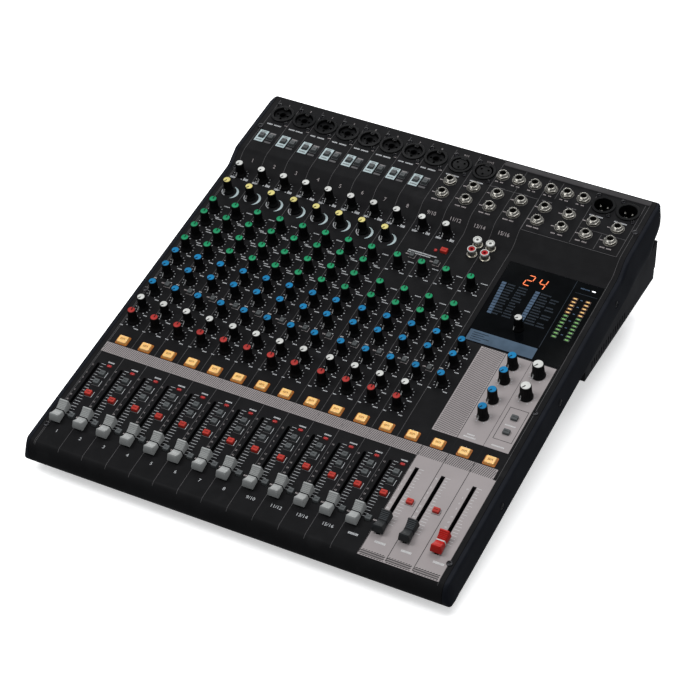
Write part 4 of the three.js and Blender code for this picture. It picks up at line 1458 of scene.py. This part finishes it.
def lamps():
    """Peak lamps in their dark rims, each under a greeked word."""
    build = Build()
    for x in KEY_X + WIDE_KEY_X[:5]:
        at = PANEL.at(x + 1, LAMP_S)
        build.add(key(6.0, 3.8, -0.3, 0.2, 1.7, 0.08), "lamp_rim", at)
        build.add(key(4.6, 2.5, -0.5, 1.0, 1.1, 0.45), "lamp_dark", at)
        dashes(build, PANEL, x - 2.6, LAMP_S + 4.7, 7.2, "ink_white", 1.6)
    build.piece("peak_lamps", "lamp_plastic")


# ---- case, feet and fittings left as the CAD has them

FOOT = ((8.6, 0.0), (9.4, 0.25), (9.9, 1.0), (10.0, 6.6), (9.5, 7.6), (8.6, 8.1), (6.0, 8.1))
FOOT_RECESS = ((4.4, -3), (4.4, 4.2), (3.6, 4.9))


def feet():
    for i in range(1, 5):
        low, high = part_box(f"foot_{i}")
        at = Matrix.Translation(((low.x + high.x) / 2 / MM, (low.y + high.y) / 2 / MM, 0))
        build = Build().add(carved(turned(FOOT, 48), turned(FOOT_RECESS, 32)), "rubber", at)
        upside_down = at @ Matrix.Translation((0, 0, 4.8)) @ Matrix.Rotation(math.pi, 4, "X")
        build.add(screw_head(3.0, 1.2), "screw_metal", upside_down)
        build.piece(f"foot_{i}_rubber", "rubber", stands_for=[f"foot_{i}"])


def dress_cad_nodes():
    finishes = {"bottom_case": ("case_steel", 0.6), "ac_inlet": ("black_plastic", 0.4),
                "power_switch": ("black_plastic", 0.5), "power_supply": ("supply_metal", 0.4),
                "control_board": ("circuit_board", 0.15), "fader_board": ("circuit_board", 0.15)}
    for node, (look, width) in finishes.items():
        made = frame["nodes"][node]
        made.data.materials.clear()
        made.data.materials.append(LOOKS[look])
        smoothed(made, width)


# ---- light and floor

def area_light(name, place, target, size, power):
    data = bpy.data.lights.new(name, "AREA")
    data.shape, data.size, data.size_y = "RECTANGLE", *size
    data.energy = power
    made = link(name, data)
    made.location = place
    aim(made, Vector(place) - Vector(target))


SKY, SKY_STRENGTH = (0.93, 0.96, 1.0, 1), 0.32
FLOOR_SIZE, FLOOR_Z = 14, -0.0002
AIM = (0, 0, 0.05)
# Each area light's place, the point it aims at, its size in metres and its power in watts.
LIGHTS = {"key": ((-1.1, -1.0, 2.5), AIM, (1.3, 1.3), 50),
          "fill": ((1.9, -1.5, 1.5), AIM, (1.4, 1.2), 7),
          "top": ((0.5, 0.6, 2.6), AIM, (1.6, 1.0), 40),
          "rear": ((-1.0, 2.2, 1.0), (0, 0, 0.08), (1.6, 0.6), 24)}


def floor():
    """A pale floor that adds no bounce light to the sides of the case."""
    grid = bmesh.new()
    bmesh.ops.create_grid(grid, x_segments=2, y_segments=2, size=FLOOR_SIZE)
    mesh = bpy.data.meshes.new("floor")
    grid.to_mesh(mesh)
    grid.free()
    look = Look("floor_paint", (250, 250, 250), rough=0.85, spec=0.1, mottle=0.005, bump=0.0)
    look.set("Emission Color", (1, 1, 1, 1)).set("Emission Strength", 0.45)
    mesh.materials.append(look.material)
    made = link("floor", mesh)
    made.visible_diffuse = made.visible_glossy = False
    made.location.z = FLOOR_Z


def studio():
    scene = bpy.context.scene
    scene.view_settings.view_transform = "Standard"
    world = bpy.data.worlds.new("studio")
    world.use_nodes = True
    background = world.node_tree.nodes["Background"]
    background.inputs["Color"].default_value = SKY
    background.inputs["Strength"].default_value = SKY_STRENGTH
    scene.world = world
    for name, how in LIGHTS.items():
        area_light(name, *how)
    floor()


# ---- assembly

top_cover()
cheeks()
rear_ridge()
cover_screws()
knob_rows()
master_knobs()
faders()
buttons()
sockets()
display()
separators()
hatches()
light_areas()
knob_marks()
key_marks()
fader_marks()
deck_marks()
lamps()
feet()
dress_cad_nodes()
studio()
